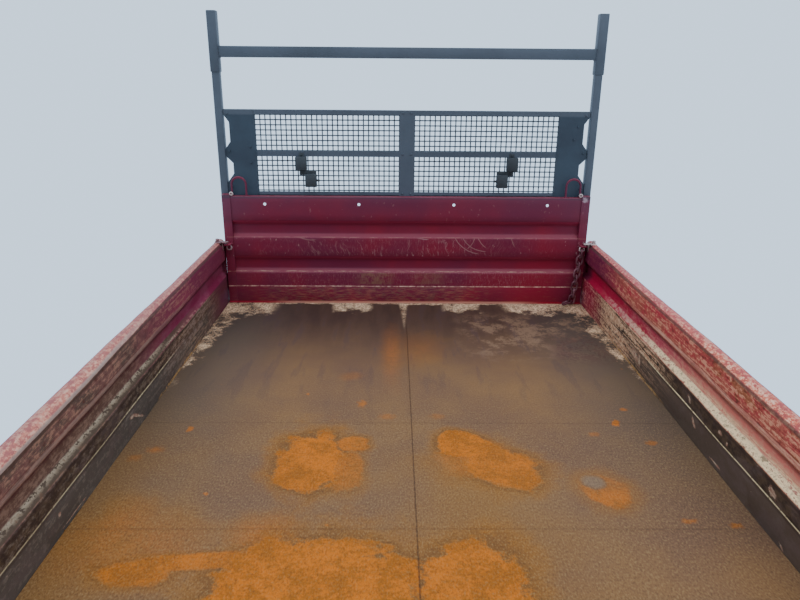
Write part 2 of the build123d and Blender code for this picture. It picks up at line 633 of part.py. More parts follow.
end_outline = [
    (SIDE_X, FLOOR + SIDE_BOTTOM),
    (SIDE_X, FLOOR + SIDE_HEIGHT - 18),
    (SIDE_X + 18, FLOOR + SIDE_HEIGHT),
    (RIM_X, FLOOR + SIDE_HEIGHT),
    (RIM_X, FLOOR + SIDE_HEIGHT - RIM_HEIGHT),
    (SIDE_X + GROOVE_DEPTH + SHEET, FLOOR + SIDE_GROOVE + GROOVE_HEIGHT),
    (SIDE_X + GROOVE_DEPTH + SHEET, FLOOR + 60),
    (SIDE_X + 2 * SHEET, FLOOR + SIDE_BOTTOM),
]
with BuildPart() as dropside:
    with BuildSketch(Plane.XZ.offset(-SIDE_REAR)):
        with BuildLine():
            FilletPolyline(*side_path, radius=BEND)
            offset(amount=SHEET, side=Side.RIGHT, kind=Kind.INTERSECTION)
        make_face()
        with Locations((SIDE_X - WEAR_SHEET / 2, FLOOR + (WEAR_HEIGHT + 6) / 2)):
            Rectangle(WEAR_SHEET, WEAR_HEIGHT - 6)
    extrude(amount=SIDE_REAR - SIDE_FRONT)
    for y in (SIDE_REAR + 4, SIDE_FRONT):
        with BuildSketch(Plane.XZ.offset(-y)):
            with BuildLine():
                Polyline(*end_outline, close=True)
            make_face()
        extrude(amount=4)
    for y in STRAP_YS:
        with BuildSketch(Plane.XZ.offset(-y - STRAP_WIDTH / 2)):
            with Locations((SIDE_X + SHEET + 3, (SIDE_HINGE_Z + FLOOR + 140) / 2)):
                Rectangle(6, FLOOR + 140 - SIDE_HINGE_Z)
            with Locations((SIDE_HINGE_X, SIDE_HINGE_Z)):
                Circle(15)
                Circle(SIDE_PIN_R + RUNNING, mode=Mode.SUBTRACT)
        extrude(amount=STRAP_WIDTH)
save_pair(dropside.part, "dropside", RAISED)

# Side latches: a plate on the rim at each end, whose finger lies over the keeper or rear post.
# At the headboard its handle hangs down inside the dropside.
FINGER_X = 972
HANDLE = 6
with BuildPart() as side_latches:
    for y in (HEAD - 35, TAIL + 35):
        with BuildSketch(Plane.XY.offset(FLOOR + SIDE_HEIGHT)):
            with Locations(((FINGER_X + RIM_X - 2) / 2, y)):
                Rectangle(RIM_X - 2 - FINGER_X, 44)
        extrude(amount=6)
        with BuildSketch(Plane.XY.offset(FLOOR + SIDE_HEIGHT + 6)):
            with Locations((RIM_X - 14, y)):
                Circle(9)
        extrude(amount=16)
    with BuildSketch(Plane.YZ.offset(SIDE_X - 2 - HANDLE)):
        with BuildLine():
            Polyline(
                (HEAD - 43, FLOOR + SIDE_HEIGHT + 6),
                (HEAD - 27, FLOOR + SIDE_HEIGHT + 6),
                (HEAD - 27, FLOOR + SIDE_HEIGHT - 20),
                (HEAD - 31, FLOOR + SIDE_HEIGHT - 42),
                (HEAD - 39, FLOOR + SIDE_HEIGHT - 42),
                (HEAD - 43, FLOOR + SIDE_HEIGHT - 20),
                close=True,
            )
        make_face()
    extrude(amount=HANDLE)
save_pair(side_latches.part, "side_latches", RAISED)

# Tailboard: the same pressing, hung from pins near its rim, with latch pins in its lower lugs
TAILBOARD_X = REAR_POST_X - EAR - 6
TAILBOARD_BOTTOM = -40
CLAW_X = 900
CLAW_PIN_R = 8
CLAW_Y = TAILBOARD_Y - 12
CLAW_Z = FLOOR - 72
tail_path = [
    (TAILBOARD_Y, FLOOR + TAILBOARD_BOTTOM),
    (TAILBOARD_Y, FLOOR + SIDE_GROOVE),
    (TAILBOARD_Y - GROOVE_DEPTH, FLOOR + SIDE_GROOVE + GROOVE_DEPTH),
    (TAILBOARD_Y - GROOVE_DEPTH, FLOOR + SIDE_GROOVE + GROOVE_HEIGHT - GROOVE_DEPTH),
    (TAILBOARD_Y, FLOOR + SIDE_GROOVE + GROOVE_HEIGHT),
    (TAILBOARD_Y, FLOOR + SIDE_HEIGHT - 12),
    (TAILBOARD_Y - 12, FLOOR + SIDE_HEIGHT),
    (TAILBOARD_Y - TAILBOARD_DEPTH, FLOOR + SIDE_HEIGHT),
    (TAILBOARD_Y - TAILBOARD_DEPTH, FLOOR + SIDE_HEIGHT - RIM_HEIGHT),
    (TAILBOARD_Y - 4 * SHEET, FLOOR + SIDE_HEIGHT - RIM_HEIGHT),
]
tail_end = [
    (TAILBOARD_Y, FLOOR + TAILBOARD_BOTTOM),
    (TAILBOARD_Y, FLOOR + SIDE_HEIGHT - 12),
    (TAILBOARD_Y - 12, FLOOR + SIDE_HEIGHT),
    (TAILBOARD_Y - TAILBOARD_DEPTH, FLOOR + SIDE_HEIGHT),
    (TAILBOARD_Y - TAILBOARD_DEPTH, FLOOR + SIDE_HEIGHT - RIM_HEIGHT),
    (TAILBOARD_Y - GROOVE_DEPTH - SHEET, FLOOR + SIDE_GROOVE + GROOVE_HEIGHT),
    (TAILBOARD_Y - GROOVE_DEPTH - SHEET, FLOOR + TAILBOARD_BOTTOM),
]
with BuildPart() as tailboard:
    with BuildSketch(Plane.YZ.offset(-TAILBOARD_X)):
        with BuildLine():
            FilletPolyline(*tail_path, radius=BEND)
            offset(amount=SHEET, side=Side.LEFT, kind=Kind.INTERSECTION)
        make_face()
    extrude(amount=2 * TAILBOARD_X)
    for x in (-TAILBOARD_X, TAILBOARD_X - 6):
        with BuildSketch(Plane.YZ.offset(x)):
            with BuildLine():
                Polyline(*tail_end, close=True)
            make_face()
        extrude(amount=6)
    for x in (-TAILBOARD_X - 22, TAILBOARD_X - 6):
        with BuildSketch(Plane.YZ.offset(x)):
            with Locations((TAIL_PIVOT_Y, FLOOR + TAIL_PIVOT_HEIGHT)):
                Circle(TAIL_PIN_R)
        extrude(amount=28)
    for side in (-1, 1):
        for lug_x in (side * CLAW_X - 25, side * CLAW_X + 17):
            with BuildSketch(Plane.YZ.offset(lug_x)):
                with Locations((CLAW_Y, CLAW_Z)):
                    Circle(14)
                with Locations((TAILBOARD_Y - 12, FLOOR + TAILBOARD_BOTTOM + 20)):
                    Rectangle(24, 40)
                make_hull()
            extrude(amount=8)
        with BuildSketch(Plane.YZ.offset(side * CLAW_X - 25)):
            with Locations((CLAW_Y, CLAW_Z)):
                Circle(CLAW_PIN_R)
        extrude(amount=50)
save(tailboard.part, "tailboard", RAISED)

# Claws under the rear beam, open to the tail, round the tailboard's latch pins. They sit on one
# shaft with the release lever at its left end.
LEVER_X = CLAW_X + 24
with BuildPart() as tailboard_claws:
    for side in (-1, 1):
        with BuildSketch(Plane.YZ.offset(side * CLAW_X - 5)):
            with BuildLine():
                Polyline(
                    (TAIL + 45, CROSS_Z),
                    (TAIL, CROSS_Z),
                    (TAIL, CLAW_Z + 19),
                    (CLAW_Y - 18, CLAW_Z + 19),
                    (CLAW_Y - 18, CLAW_Z + 13),
                    (CLAW_Y + 14, CLAW_Z + 13),
                    (CLAW_Y + 14, CLAW_Z - 13),
                    (CLAW_Y - 18, CLAW_Z - 13),
                    (CLAW_Y - 18, CLAW_Z - 22),
                    (TAIL + 20, CLAW_Z - 22),
                    close=True,
                )
            make_face()
        extrude(amount=10)
    with BuildSketch(Plane.YZ.offset(-LEVER_X)):
        with Locations((SHAFT_Y, SHAFT_Z)):
            Circle(SHAFT_R)
    extrude(amount=LEVER_X + CLAW_X + 12)
    with BuildSketch(Plane.YZ.offset(-LEVER_X)):
        with Locations((SHAFT_Y, SHAFT_Z)):
            Circle(18)
        with Locations((SHAFT_Y + 70, SHAFT_Z - 105)):
            Circle(11)
        make_hull()
    extrude(amount=8)
    with BuildSketch(Plane.YZ.offset(-LEVER_X - 40)):
        with Locations((SHAFT_Y + 70, SHAFT_Z - 105)):
            Circle(8)
    extrude(amount=44)
save(tailboard_claws.part, "tailboard_claws", RAISED)

# Ram: a barrel on trunnions, three sleeves and a rod with its eye, each slid out by one stroke
BARREL_R = 62
BARREL_TOP = 172
SLIDE_GAP = 0.5
STAGE_TABLE = (  # name, outer radius, inner radius, foot, top, along the ram from its trunnions
    ("ram_stage_1", 54, 46.5, 0, 178),
    ("ram_stage_2", 46, 38.5, 3, 184),
    ("ram_stage_3", 38, 30.5, 6, 190),
)
ROD_RADIUS = 30
with BuildPart() as ram_barrel:
    with BuildSketch(Plane.XZ):
        with BuildLine():
            Polyline(
                (0, -12),
                (BARREL_R, -12),
                (BARREL_R, BARREL_TOP - 22),
                (BARREL_R + 4, BARREL_TOP - 18),
                (BARREL_R + 4, BARREL_TOP),
                (STAGE_TABLE[0][1] + SLIDE_GAP, BARREL_TOP),
                (STAGE_TABLE[0][1] + SLIDE_GAP, -3),
                (0, -3),
                close=True,
            )
        make_face()
    revolve(axis=Axis.Z)
    with BuildSketch(Plane.YZ.offset(BARREL_R - 5)):
        Circle(TRUNNION_R)
    extrude(amount=ARM_X + EAR + 8 - BARREL_R + 5)
    with BuildSketch(Plane.YZ.offset(-ARM_X - EAR - 8)):
        Circle(TRUNNION_R)
    extrude(amount=ARM_X + EAR + 8 - BARREL_R + 5)
save(ram_barrel.part, "ram_barrel", RAM)

for order, (name, outer, inner, foot, top) in enumerate(STAGE_TABLE, start=1):
    with BuildPart() as sleeve:
        with BuildSketch(Plane.XZ):
            with BuildLine():
                Polyline(
                    (inner, foot),
                    (outer, foot),
                    (outer, top - 5),
                    (outer + 3, top - 5),
                    (outer + 3, top),
                    (inner, top),
                    close=True,
                )
            make_face()
        revolve(axis=Axis.Z)
    save(sleeve.part, name, RAM * Location((0, 0, order * RAM_STROKE)))

with BuildPart() as ram_rod:
    with BuildSketch(Plane.XY.offset(9)):
        Circle(ROD_RADIUS)
    extrude(amount=183)
    with BuildSketch(Plane.XY.offset(192)):
        Rectangle(2 * ROD_RADIUS, 40)
    extrude(amount=RAM_CLOSED - 192)
    with BuildSketch(Plane.YZ.offset(-ROD_RADIUS)):
        with Locations((0, RAM_CLOSED)):
            Circle(24)
    extrude(amount=2 * ROD_RADIUS)
save(ram_rod.part, "ram_rod", RAM * Location((0, 0, RAM_STAGES * RAM_STROKE)))
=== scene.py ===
"""A light dump truck's tipping body with the bed raised: worn paint, rust and the small fittings.

Metres. X to the right seen from the tail, Y forwards, Z up. What sits on the bed is modelled
level, with Y 0 at the tipping hinge and Z 0 under the subframe, and then turned up with it.
"""
import json
import math

import bmesh
import bpy
from mathutils import Matrix, Vector


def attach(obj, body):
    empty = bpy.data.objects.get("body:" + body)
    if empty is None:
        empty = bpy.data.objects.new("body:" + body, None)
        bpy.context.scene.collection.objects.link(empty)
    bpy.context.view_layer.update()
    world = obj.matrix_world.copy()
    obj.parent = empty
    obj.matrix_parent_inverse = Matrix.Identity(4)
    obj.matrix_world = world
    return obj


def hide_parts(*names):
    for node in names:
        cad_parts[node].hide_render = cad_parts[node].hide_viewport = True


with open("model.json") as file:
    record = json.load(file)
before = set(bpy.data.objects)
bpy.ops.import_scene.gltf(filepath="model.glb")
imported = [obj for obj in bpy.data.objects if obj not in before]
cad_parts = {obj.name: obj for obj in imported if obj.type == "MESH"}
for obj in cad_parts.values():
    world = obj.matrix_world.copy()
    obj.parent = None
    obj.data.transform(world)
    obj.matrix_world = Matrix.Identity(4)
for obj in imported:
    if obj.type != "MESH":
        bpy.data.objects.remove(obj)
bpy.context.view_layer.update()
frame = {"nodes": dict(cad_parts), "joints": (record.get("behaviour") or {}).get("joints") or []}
bpy.ops.object.select_all(action="DESELECT")

# The tipping hinge turns the level bed up to where it stands
tip_joint = next(joint for joint in frame["joints"] if joint["name"] == "bed_tip")
HINGE = Vector(tip_joint["pos_m"])
TIP = math.radians(-tip_joint["range_deg"][0])
RAISED = (
    Matrix.Translation(HINGE) @ Matrix.Rotation(TIP, 4, "X") @ Matrix.Translation((0, 0, -HINGE.z))
)
FIXED = Matrix.Translation((0, HINGE.y, 0))


def level_box(node):
    """Lowest and highest corner of a bed node, as it lies with the bed down."""
    lower = RAISED.inverted()
    corners = [lower @ vertex.co for vertex in frame["nodes"][node].data.vertices]
    return Vector(map(min, zip(*corners))), Vector(map(max, zip(*corners)))


# Main dimensions, from the floor plate, the headboard and the dropsides
floor_low, floor_high = level_box("floor_plate")
FLOOR = floor_high.z
TAIL = floor_low.y
HEAD = floor_high.y
SIDE_X = floor_high.x + 0.005
SIDE_HEIGHT = level_box("dropside_right")[1].z - FLOOR
HEAD_HEIGHT = level_box("headboard")[1].z - FLOOR
RIM_X = level_box("dropside_right")[1].x
WEAR = 0.1  # height of the wear strip round the floor
SIDES = (-1, 1)  # left and right


class Value:
    """A number, a colour or a place on its way through a finish. Arithmetic adds Math nodes."""

    def __init__(self, finish, socket):
        self.finish = finish
        self.socket = socket

    def math(self, operation, *values):
        return self.finish.node("Math", {"operation": operation}, dict(enumerate(values)))

    def __add__(self, other):
        return self.math("ADD", self, other)

    def __sub__(self, other):
        return self.math("SUBTRACT", self, other)

    def __rsub__(self, other):
        return self.math("SUBTRACT", other, self)

    def __mul__(self, other):
        return self.math("MULTIPLY", self, other)

    def __truediv__(self, other):
        return self.math("DIVIDE", self, other)

    def __pow__(self, other):
        return self.math("POWER", self, other)

    def __abs__(self):
        return self.math("ABSOLUTE", self)

    __radd__ = __add__
    __rmul__ = __mul__

    def rise(self, start, end):
        """0 at start and before it, 1 from end on. Start may be the larger of the two."""
        return self.finish.node(
            "MapRange", {"interpolation_type": "SMOOTHSTEP"}, {"Value": self, 1: start, 2: end}
        )

    def band(self, low, high, soft):
        """1 from low to high, 0 outside, with soft edges."""
        return self.rise(low - soft, low + soft) * self.rise(high + soft, high - soft)

    def most(self, other):
        return self.math("MAXIMUM", self, other)


def colour(code):
    """A screen colour such as 5B2233 as the linear colour that a shader takes."""
    parts = [int(code[i : i + 2], 16) / 255 for i in (0, 2, 4)]
    return (*[p / 12.92 if p < 0.04045 else ((p + 0.055) / 1.055) ** 2.4 for p in parts], 1)


class Finish:
    """A material while its nodes are laid: base is the colour so far, here a place on the piece."""

    def __init__(self, name):
        self.material = bpy.data.materials.new(name)
        self.material.use_nodes = True
        self.tree = self.material.node_tree
        self.tree.nodes.clear()
        self.here = self.node("TexCoord", output="Object")
        self.base = None

    def node(self, kind, settings=None, sockets=None, output=0):
        """One node: its settings, then the values or links of its sockets."""
        node = self.tree.nodes.new("ShaderNode" + kind)
        for name, value in (settings or {}).items():
            setattr(node, name, value)
        for key, value in (sockets or {}).items():
            if isinstance(value, Value):
                self.tree.links.new(value.socket, node.inputs[key])
            else:
                node.inputs[key].default_value = value
        return Value(self, node.outputs[output]) if node.outputs else None

    def level(self):
        """The place in the level bed: right, back from the headboard's foot, up from the floor."""
        foot = RAISED @ Vector((0, HEAD, FLOOR))
        turned = {"Vector": self.here, "Location": foot, "Rotation": (TIP, 0, 0)}
        return self.node("Mapping", {"vector_type": "TEXTURE"}, turned)

    def parts(self, place):
        """X, Y and Z of a place."""
        return [self.node("SeparateXYZ", None, {0: place}, axis) for axis in range(3)]

    def stretch(self, place, x, y, z):
        """A place drawn out, so that a pattern on it runs along one way."""
        return self.node("VectorMath", {"operation": "MULTIPLY"}, {0: place, 1: (x, y, z)})

    def noise(self, place, scale, detail=3.0, rough=0.55, output=0):
        values = {"Vector": place, "Scale": scale, "Detail": detail, "Roughness": rough}
        return self.node("TexNoise", None, values, output)

    def add(self, place, other):
        return self.node("VectorMath", {"operation": "ADD"}, {0: place, 1: other})

    def mix(self, share, first, second):
        """A colour between two. Either may be a screen colour's code."""
        first, second = (colour(c) if isinstance(c, str) else c for c in (first, second))
        return self.node("Mix", {"data_type": "RGBA"}, {0: share, 6: first, 7: second}, 2)

    def lay(self, share, tint):
        """Another colour over what is there, by its share."""
        self.base = self.mix(share, self.base, tint)

    def facing(self):
        """How far the surface's own direction points along X, Y and Z of the level bed."""
        normal = self.node("TexCoord", output="Normal")
        turned = {"Vector": normal, "Rotation": (TIP, 0, 0)}
        return self.parts(self.node("Mapping", {"vector_type": "TEXTURE"}, turned))

    def surface(self, roughness, bump=None, depth=0.001, metallic=0.0, gloss=0.5):
        """The shader at the end. A bump is a number that stands for a height of 0 to depth."""
        values = {"Base Color": self.base, "Roughness": roughness, "Metallic": metallic}
        values["Specular IOR Level"] = gloss
        if bump is not None:
            values["Normal"] = self.node("Bump", None, {"Height": bump, "Distance": depth})
        shader = self.node("BsdfPrincipled", None, values)
        self.node("OutputMaterial", None, {"Surface": shader})
        return self.material


def patch_place(a, b, half_a, half_b, turn):
    """How far along and across a turned patch, 1 at its edges."""
    aside, along = math.cos(math.radians(turn)), math.sin(math.radians(turn))
    return abs(a * aside + b * along) / half_a, abs(b * aside - a * along) / half_b


# Finishes. Each reads its place from the piece, so patterns follow the steel. Places, heights and
# radii are metres in the level bed: x to the right, y back from the headboard's foot, z up from
# the floor. Shares, noise scales and thresholds were set one by one.

RUST = "74502F"

SIDE_CHIPS = (  # bare spots: side, y back, height, half length, half height, turn
    (1, -0.87, 0.062, 0.05, 0.02, 10),
    (1, -0.92, 0.06, 0.012, 0.03, -20),
    (1, -1.41, 0.128, 0.018, 0.010, 35),
    (1, -1.47, 0.064, 0.028, 0.008, 40),
    (1, -1.65, 0.130, 0.016, 0.008, 0),
    (1, -1.70, 0.120, 0.006, 0.010, 0),
    (1, -1.66, 0.018, 0.045, 0.004, 0),
    (1, -1.965, 0.122, 0.025, 0.014, 0),
    (1, -2.05, 0.008, 0.012, 0.004, 30),
    (-1, -1.39, 0.045, 0.075, 0.006, -30),
    (-1, -1.44, 0.066, 0.022, 0.007, -10),
    (-1, -1.98, 0.058, 0.010, 0.008, 0),
    (-1, -1.9, 0.010, 0.08, 0.003, 0),
)
SCRAPES = (  # curved marks on the headboard: middle, height, radius, from and to
    (0.42, 0.46, 0.17, 0.24, 0.40),
    (0.44, 0.45, 0.145, 0.30, 0.44),
    (0.50, 0.42, 0.11, 0.39, 0.44),
    (0.28, 0.40, 0.10, 0.34, 0.43),
    (0.70, 0.40, 0.12, 0.57, 0.60),
    (-0.52, 0.52, 0.155, -0.60, -0.50),
    (0.12, 0.56, 0.19, -0.02, 0.12),
)


def headboard_finish():
    f = Finish("headboard_red")
    place = f.level()
    x, y, z = f.parts(place)
    _, ahead, up = f.facing()
    cloudy = f.noise(place, 2.2, 5)
    fine = f.noise(place, 60, 3)
    ragged = f.noise(place, 22, 5, 0.7)
    f.base = f.mix(cloudy.rise(0.35, 0.7), "6E1636", "8E122C")
    # Painted sky reflection: the upper headboard is painted a greyer purple
    f.lay(z.rise(0.42, 0.6) * 0.45, "64304A")
    f.lay(x.rise(0.3, 0.85) * z.rise(0.42, 0.2) * 0.5, "880C2E")
    f.lay(abs(x).rise(0.75, 0.97) * 0.3, "552A40")
    # Painted light: faces that look up are painted lighter, and faces that look down are painted lighter
    # against their own shade
    f.lay(up.rise(0.25, 0.7) * 0.75, "8E3646")
    f.lay(up.rise(-0.2, -0.6) * 0.8, "A83050")
    shade = z.band(0.245, 0.275, 0.012) + z.band(0.444, 0.474, 0.012)
    f.lay(y.rise(0.004, 0.016) * shade * 0.35, "3C0A1C")
    # Painted shade: a darker band on the face just above each groove
    under = z.band(0.266, 0.3, 0.02) + z.band(0.466, 0.49, 0.02)
    f.lay(y.rise(0.012, 0.004) * under * 0.3, "3C0A1C")
    bent = f.add(place, f.stretch(f.noise(place, 3, 2, output=1), 0.3, 0.3, 0.3))
    # sprayed is the paint so far, with its painted sky reflection, painted light and painted shade; the
    # face towards the cab is given it back at the end
    sprayed = f.base
    # Scratches and scrapes, most of them on the flat between the grooves
    flat = z.band(0.278, 0.372, 0.01)
    upright = f.noise(f.stretch(bent, 26, 1, 5), 4, 3, 0.7).rise(0.56, 0.66)
    upright = upright * flat * abs(x + 0.1).rise(0.9, 0.3)
    hatch = f.noise(f.stretch(place, 30, 1, 7), 5, 5, 0.8).rise(0.5, 0.66)
    hatch = hatch * (flat * 0.6 + z.band(0.1, 0.182, 0.004)) * abs(x).rise(1.0, 0.5)
    scrape = 0
    for middle, height, radius, start, end in SCRAPES:
        distance = ((x - middle) ** 2 + (z - height) ** 2) ** 0.5 + (ragged - 0.5) * 0.008
        stroke = abs(distance - radius).rise(0.0032, 0.001)
        scrape = (stroke * x.band(start, end, 0.01) * z.band(0.278, 0.376, 0.004)).most(scrape)
    nicks = f.noise(f.stretch(place, 1, 1, 0.5), 62, 3, 0.7).rise(0.64, 0.68)
    nicks = nicks * (z.band(0.272, 0.38, 0.01) + z.band(0.47, 0.6, 0.02) * 0.5)
    worn = (upright * 0.3).most(scrape * 0.5).most(nicks * 0.5).most(hatch * 0.3)
    f.lay(worn, f.mix(cloudy.rise(0.4, 0.6), "B08078", "C09898"))
    # Rubbed patches low down, then worn edges
    olive = abs(x + 0.17).rise(0.14, 0.03).most(abs(x - 0.13).rise(0.12, 0.03) * 0.6)
    olive = olive * z.band(0.112, 0.178, 0.006) * (hatch * 0.5 + ragged.rise(0.38, 0.58) * 0.6)
    f.lay(olive * 0.8, "8C6A4C")
    rub = f.noise(f.stretch(place, 3, 1, 34), 6, 5, 0.75)
    low = rub.rise(0.46, 0.58) * z.rise(0.1, 0.094) * abs(x + 0.19).rise(0.8, 0.4)
    low = low.most(rub.rise(0.55, 0.65) * z.rise(0.2, 0.17) * 0.5)
    f.lay(low * 0.65, f.mix(ragged.rise(0.4, 0.6), "A0644C", "786048"))
    edge = z.band(0.182, 0.187, 0.002).most(z.band(0.378, 0.381, 0.002) * 0.6)
    f.lay(edge * rub.rise(0.45, 0.6) * 0.7, "C89A80")
    line = z.band(WEAR - 0.003, WEAR + 0.002, 0.0015) * fine.rise(0.3, 0.55)
    f.lay(line * (0.25 + ragged.rise(0.4, 0.6) * 0.6), "E8BCA4")
    foot = z.rise(0.014, 0.009)
    f.lay(foot * 0.8, f.mix(abs(x).rise(0.8, 0.6), "A00A28", "C88870"))
    # Painted reflection of the slate guard: the headboard's top edge is painted slate grey
    f.lay(z.rise(0.588, 0.598) * y.rise(0.01, -0.004) * 0.6, "3C3440")
    bald = ((x - 0.966) ** 2 + (z - 0.596) ** 2) ** 0.5 + (fine + ragged - 1) * 0.03
    f.lay(bald.rise(0.018, 0.008) * y.rise(-0.5, -0.1) * 0.65, "B89CA4")
    f.lay(ahead.rise(0.3, 0.6), sprayed)  # the face towards the cab
    rough = 0.4 + fine * 0.2 + worn * 0.25
    height = fine * 0.4 + worn * -0.5
    return f.surface(rough, height, 0.0008, gloss=0.35)


def side_finish():
    f = Finish("dropside_red")
    place = f.level()
    x, y, z = f.parts(place)
    right, ahead, up = f.facing()
    tone = x.rise(-0.2, 0.2)  # the left side is duller than the right
    near = y.rise(-0.3, -2.2)  # wear grows towards the tail
    cloudy = f.noise(f.stretch(place, 1, 0.4, 1), 4, 5)
    fine = f.noise(f.stretch(place, 1, 0.6, 1), 90, 4, 0.7)
    speckle = f.noise(f.stretch(place, 1, 0.7, 1.3), 34, 6, 0.75)
    streak = f.noise(f.stretch(place, 1, 1.6, 45), 2.4, 6, 0.75)
    patches = f.noise(f.stretch(place, 1, 0.6, 1.5), 9, 5, 0.65)
    flecks = speckle * 0.55 + fine * 0.45
    scales = flecks * 0.7 + streak * 0.3
    # Upper face
    far = y.rise(-0.2, -0.75)
    bright = f.mix(cloudy.rise(0.35, 0.65), "741840", "8C2444")
    bright = f.mix(far, bright, f.mix(patches.rise(0.42, 0.58), "B83440", "B05446"))
    bright = f.mix(patches.rise(0.5, 0.42) * near.rise(0.3, 0.9) * 0.8, bright, "9C623C")
    dull = f.mix(cloudy.rise(0.35, 0.65), "7E2C46", "92384C")
    dull = f.mix(y.rise(-0.8, -1.5), dull, f.mix(patches.rise(0.42, 0.56), "5E4A40", "785048"))
    f.base = f.mix(tone, dull, bright)
    pale = scales.rise(0.5, 0.55) * (0.12 + far * 0.4 + near.rise(0.4, 0.9) * 0.3)
    f.lay(pale * (0.6 + tone * 0.4), f.mix(tone, "B4846C", "E09474"))
    dark = scales.rise(0.47, 0.42) * (0.2 + near * 0.7)
    f.lay(dark, "5A2E24")
    drawn = (streak * 0.6 + flecks * 0.4).rise(0.51, 0.56) * y.rise(-0.25, -0.7)
    f.lay(drawn * (0.3 + tone * 0.25), f.mix(tone, "BC8C70", "E2A07E"))
    ledge = z.band(0.25, 0.268, 0.003) * y.rise(-0.5, -1.1)
    pink = f.mix(tone, "9A7A6C", "E8B094")
    f.lay(ledge * (0.3 + streak.rise(0.42, 0.58) * 0.5), pink)
    f.lay(z.band(0.27, 0.272, 0.0015) * y.rise(-1.1, -1.4) * 0.7, "5E1C20")
    # Groove
    groove = (abs(x) - SIDE_X).rise(0.004, 0.014) * z.rise(0.29, 0.24)
    groove = groove.most(z.band(0.154, 0.2, 0.003) * y.rise(-0.9, -0.5))
    red = f.mix((patches - y * 0.3).rise(0.65, 0.85), "B00C38", "BC4A58")
    red = f.mix(y.rise(-1.0, -1.6), red, "DC7868")
    red = f.mix(y.rise(-0.12, -0.04), red, "6A1430")
    wine = f.mix(patches.rise(0.4, 0.6), "802040", "8A3A50")
    wine = f.mix(y.rise(-0.8, -1.5), wine, f.mix(scales.rise(0.47, 0.55), "64463A", "8A6A58"))
    red = f.mix(scales.rise(0.49, 0.56) * y.rise(-0.3, -1.0) * 0.5, red, "DC9C84")
    f.lay(groove, f.mix(tone, wine, red))
    # Painted shade in the groove's upper part, under its lip
    f.lay(groove * z.rise(0.212, 0.226) * 0.6, "4A1020")
    # Slope under the groove, pale where the paint has gone
    slope = up.rise(0.3, 0.6) * z.band(0.156, 0.19, 0.004)
    run_up = groove * z.rise(0.208, 0.182) * y.rise(-1.0, -1.6) * streak.rise(0.4, 0.55)
    cream = f.mix(y.rise(-0.6, -1.2), "CC8C80", f.mix(tone, "D2BA9A", "FFDCA8"))
    cream = f.mix(fine.rise(0.5, 0.6) * (0.65 - tone * 0.2), cream, "A08468")
    whole = (flecks + y.rise(-0.2, -1.4) * 0.06 + tone * 0.025).rise(0.5, 0.55)
    ragged_z = z + (flecks - 0.5) * 0.03
    lower = ragged_z.rise(0.158, 0.164).most(tone * y.rise(-0.8, -1.3))
    high = ragged_z.rise(0.164, 0.176) * y.rise(-0.9, -1.15)
    thin = ragged_z.band(0.156, 0.167, 0.003) * y.rise(-1.15, -0.9)
    pale_slope = slope * (high.most(thin) * 0.85 * (1 - tone) + tone) * lower.most(1 - tone)
    bare = pale_slope.most(run_up * 0.9 * tone) * whole * y.rise(-0.25, -0.6)
    under = f.mix(tone, "54402F", "AC7C64")
    f.lay(slope * y.rise(-0.4, -1.0) * (1 - tone * 0.3), under)
    f.lay(bare * (0.7 + tone * 0.3), cream)
    f.lay(slope * speckle.rise(0.58, 0.63) * y.rise(-0.8, -1.3) * 0.7, "6A4A34")
    # Lower face and wear strip: red by the headboard, then streaked with tan, then dark
    below = z.rise(0.159, 0.155)
    strip = z.rise(0.101, 0.098)
    deep = f.mix(speckle.rise(0.4, 0.6), "382820", "54402F")
    deep = f.mix(strip, deep, f.mix(tone, "54483F", "564438"))
    by_head = y.rise(-0.5, -0.15)
    rose = f.mix(scales.rise(0.48, 0.56), "A01838", "D07C76")
    rose = f.mix(tone, f.mix(cloudy.rise(0.4, 0.6), "6A2440", "6A3434"), rose)
    low = f.mix(by_head, deep, rose)
    zone = y.band(-1.15, -0.3, 0.2) * (1 - strip * y.rise(-0.6, -1.0) * 0.7)
    zone = zone * (0.35 + tone * 0.65)
    flaked = (streak * 0.65 + flecks * 0.35 + zone * 0.04).rise(0.5, 0.53) * zone
    low = f.mix(flaked, low, f.mix(fine.rise(0.4, 0.6), "BC8462", "E4BA94"))
    brown = y.band(-1.0, -0.3, 0.2) * (1 - tone) * patches.rise(0.4, 0.55)
    low = f.mix(brown * 0.7, low, f.mix(scales.rise(0.46, 0.54), "6A4C3A", "94786A"))
    mottle = scales.rise(0.5, 0.56) * y.rise(-0.25, -0.6) * (1 - tone)
    low = f.mix(mottle * 0.35, low, "8A7868")
    low = f.mix(patches.rise(0.48, 0.6) * y.rise(-1.1, -1.5) * 0.4, low, "64504A")
    f.lay(below, low)
    crack = z.band(0.144, 0.152, 0.003).most(z.band(0.088, 0.096, 0.004) * 0.8) * y.rise(-0.35, -0.7)
    f.lay(crack * streak.rise(0.35, 0.5) * 0.7, "38241C")
    line = z.band(WEAR - 0.002, WEAR + 0.002, 0.0015) * y.rise(-0.85, -1.15) * fine.rise(0.3, 0.5)
    f.lay(line * (0.6 + tone * 0.4), "E2CC9C")
    hem = z.rise(0.011, 0.007) * y.band(-1.15, -0.6, 0.1) * speckle.rise(0.45, 0.5)
    f.lay(hem, "C09058")
    f.lay(speckle.rise(0.68, 0.72) * below * 0.7, "B89A84")
    chips = 0
    for side, back, height, half_length, half_height, turn in SIDE_CHIPS:
        u, v = patch_place(y - back, z - height, half_length, half_height, turn)
        spot = ((u**2 + v**2) ** 0.5 + (flecks - 0.5) * 5).rise(1.0, 0.6)
        chips = (spot * (x * side).rise(0.0, 0.1)).most(chips)
    f.lay(chips * 0.6, f.mix(fine.rise(0.4, 0.6), "B07860", "E4C4A4"))
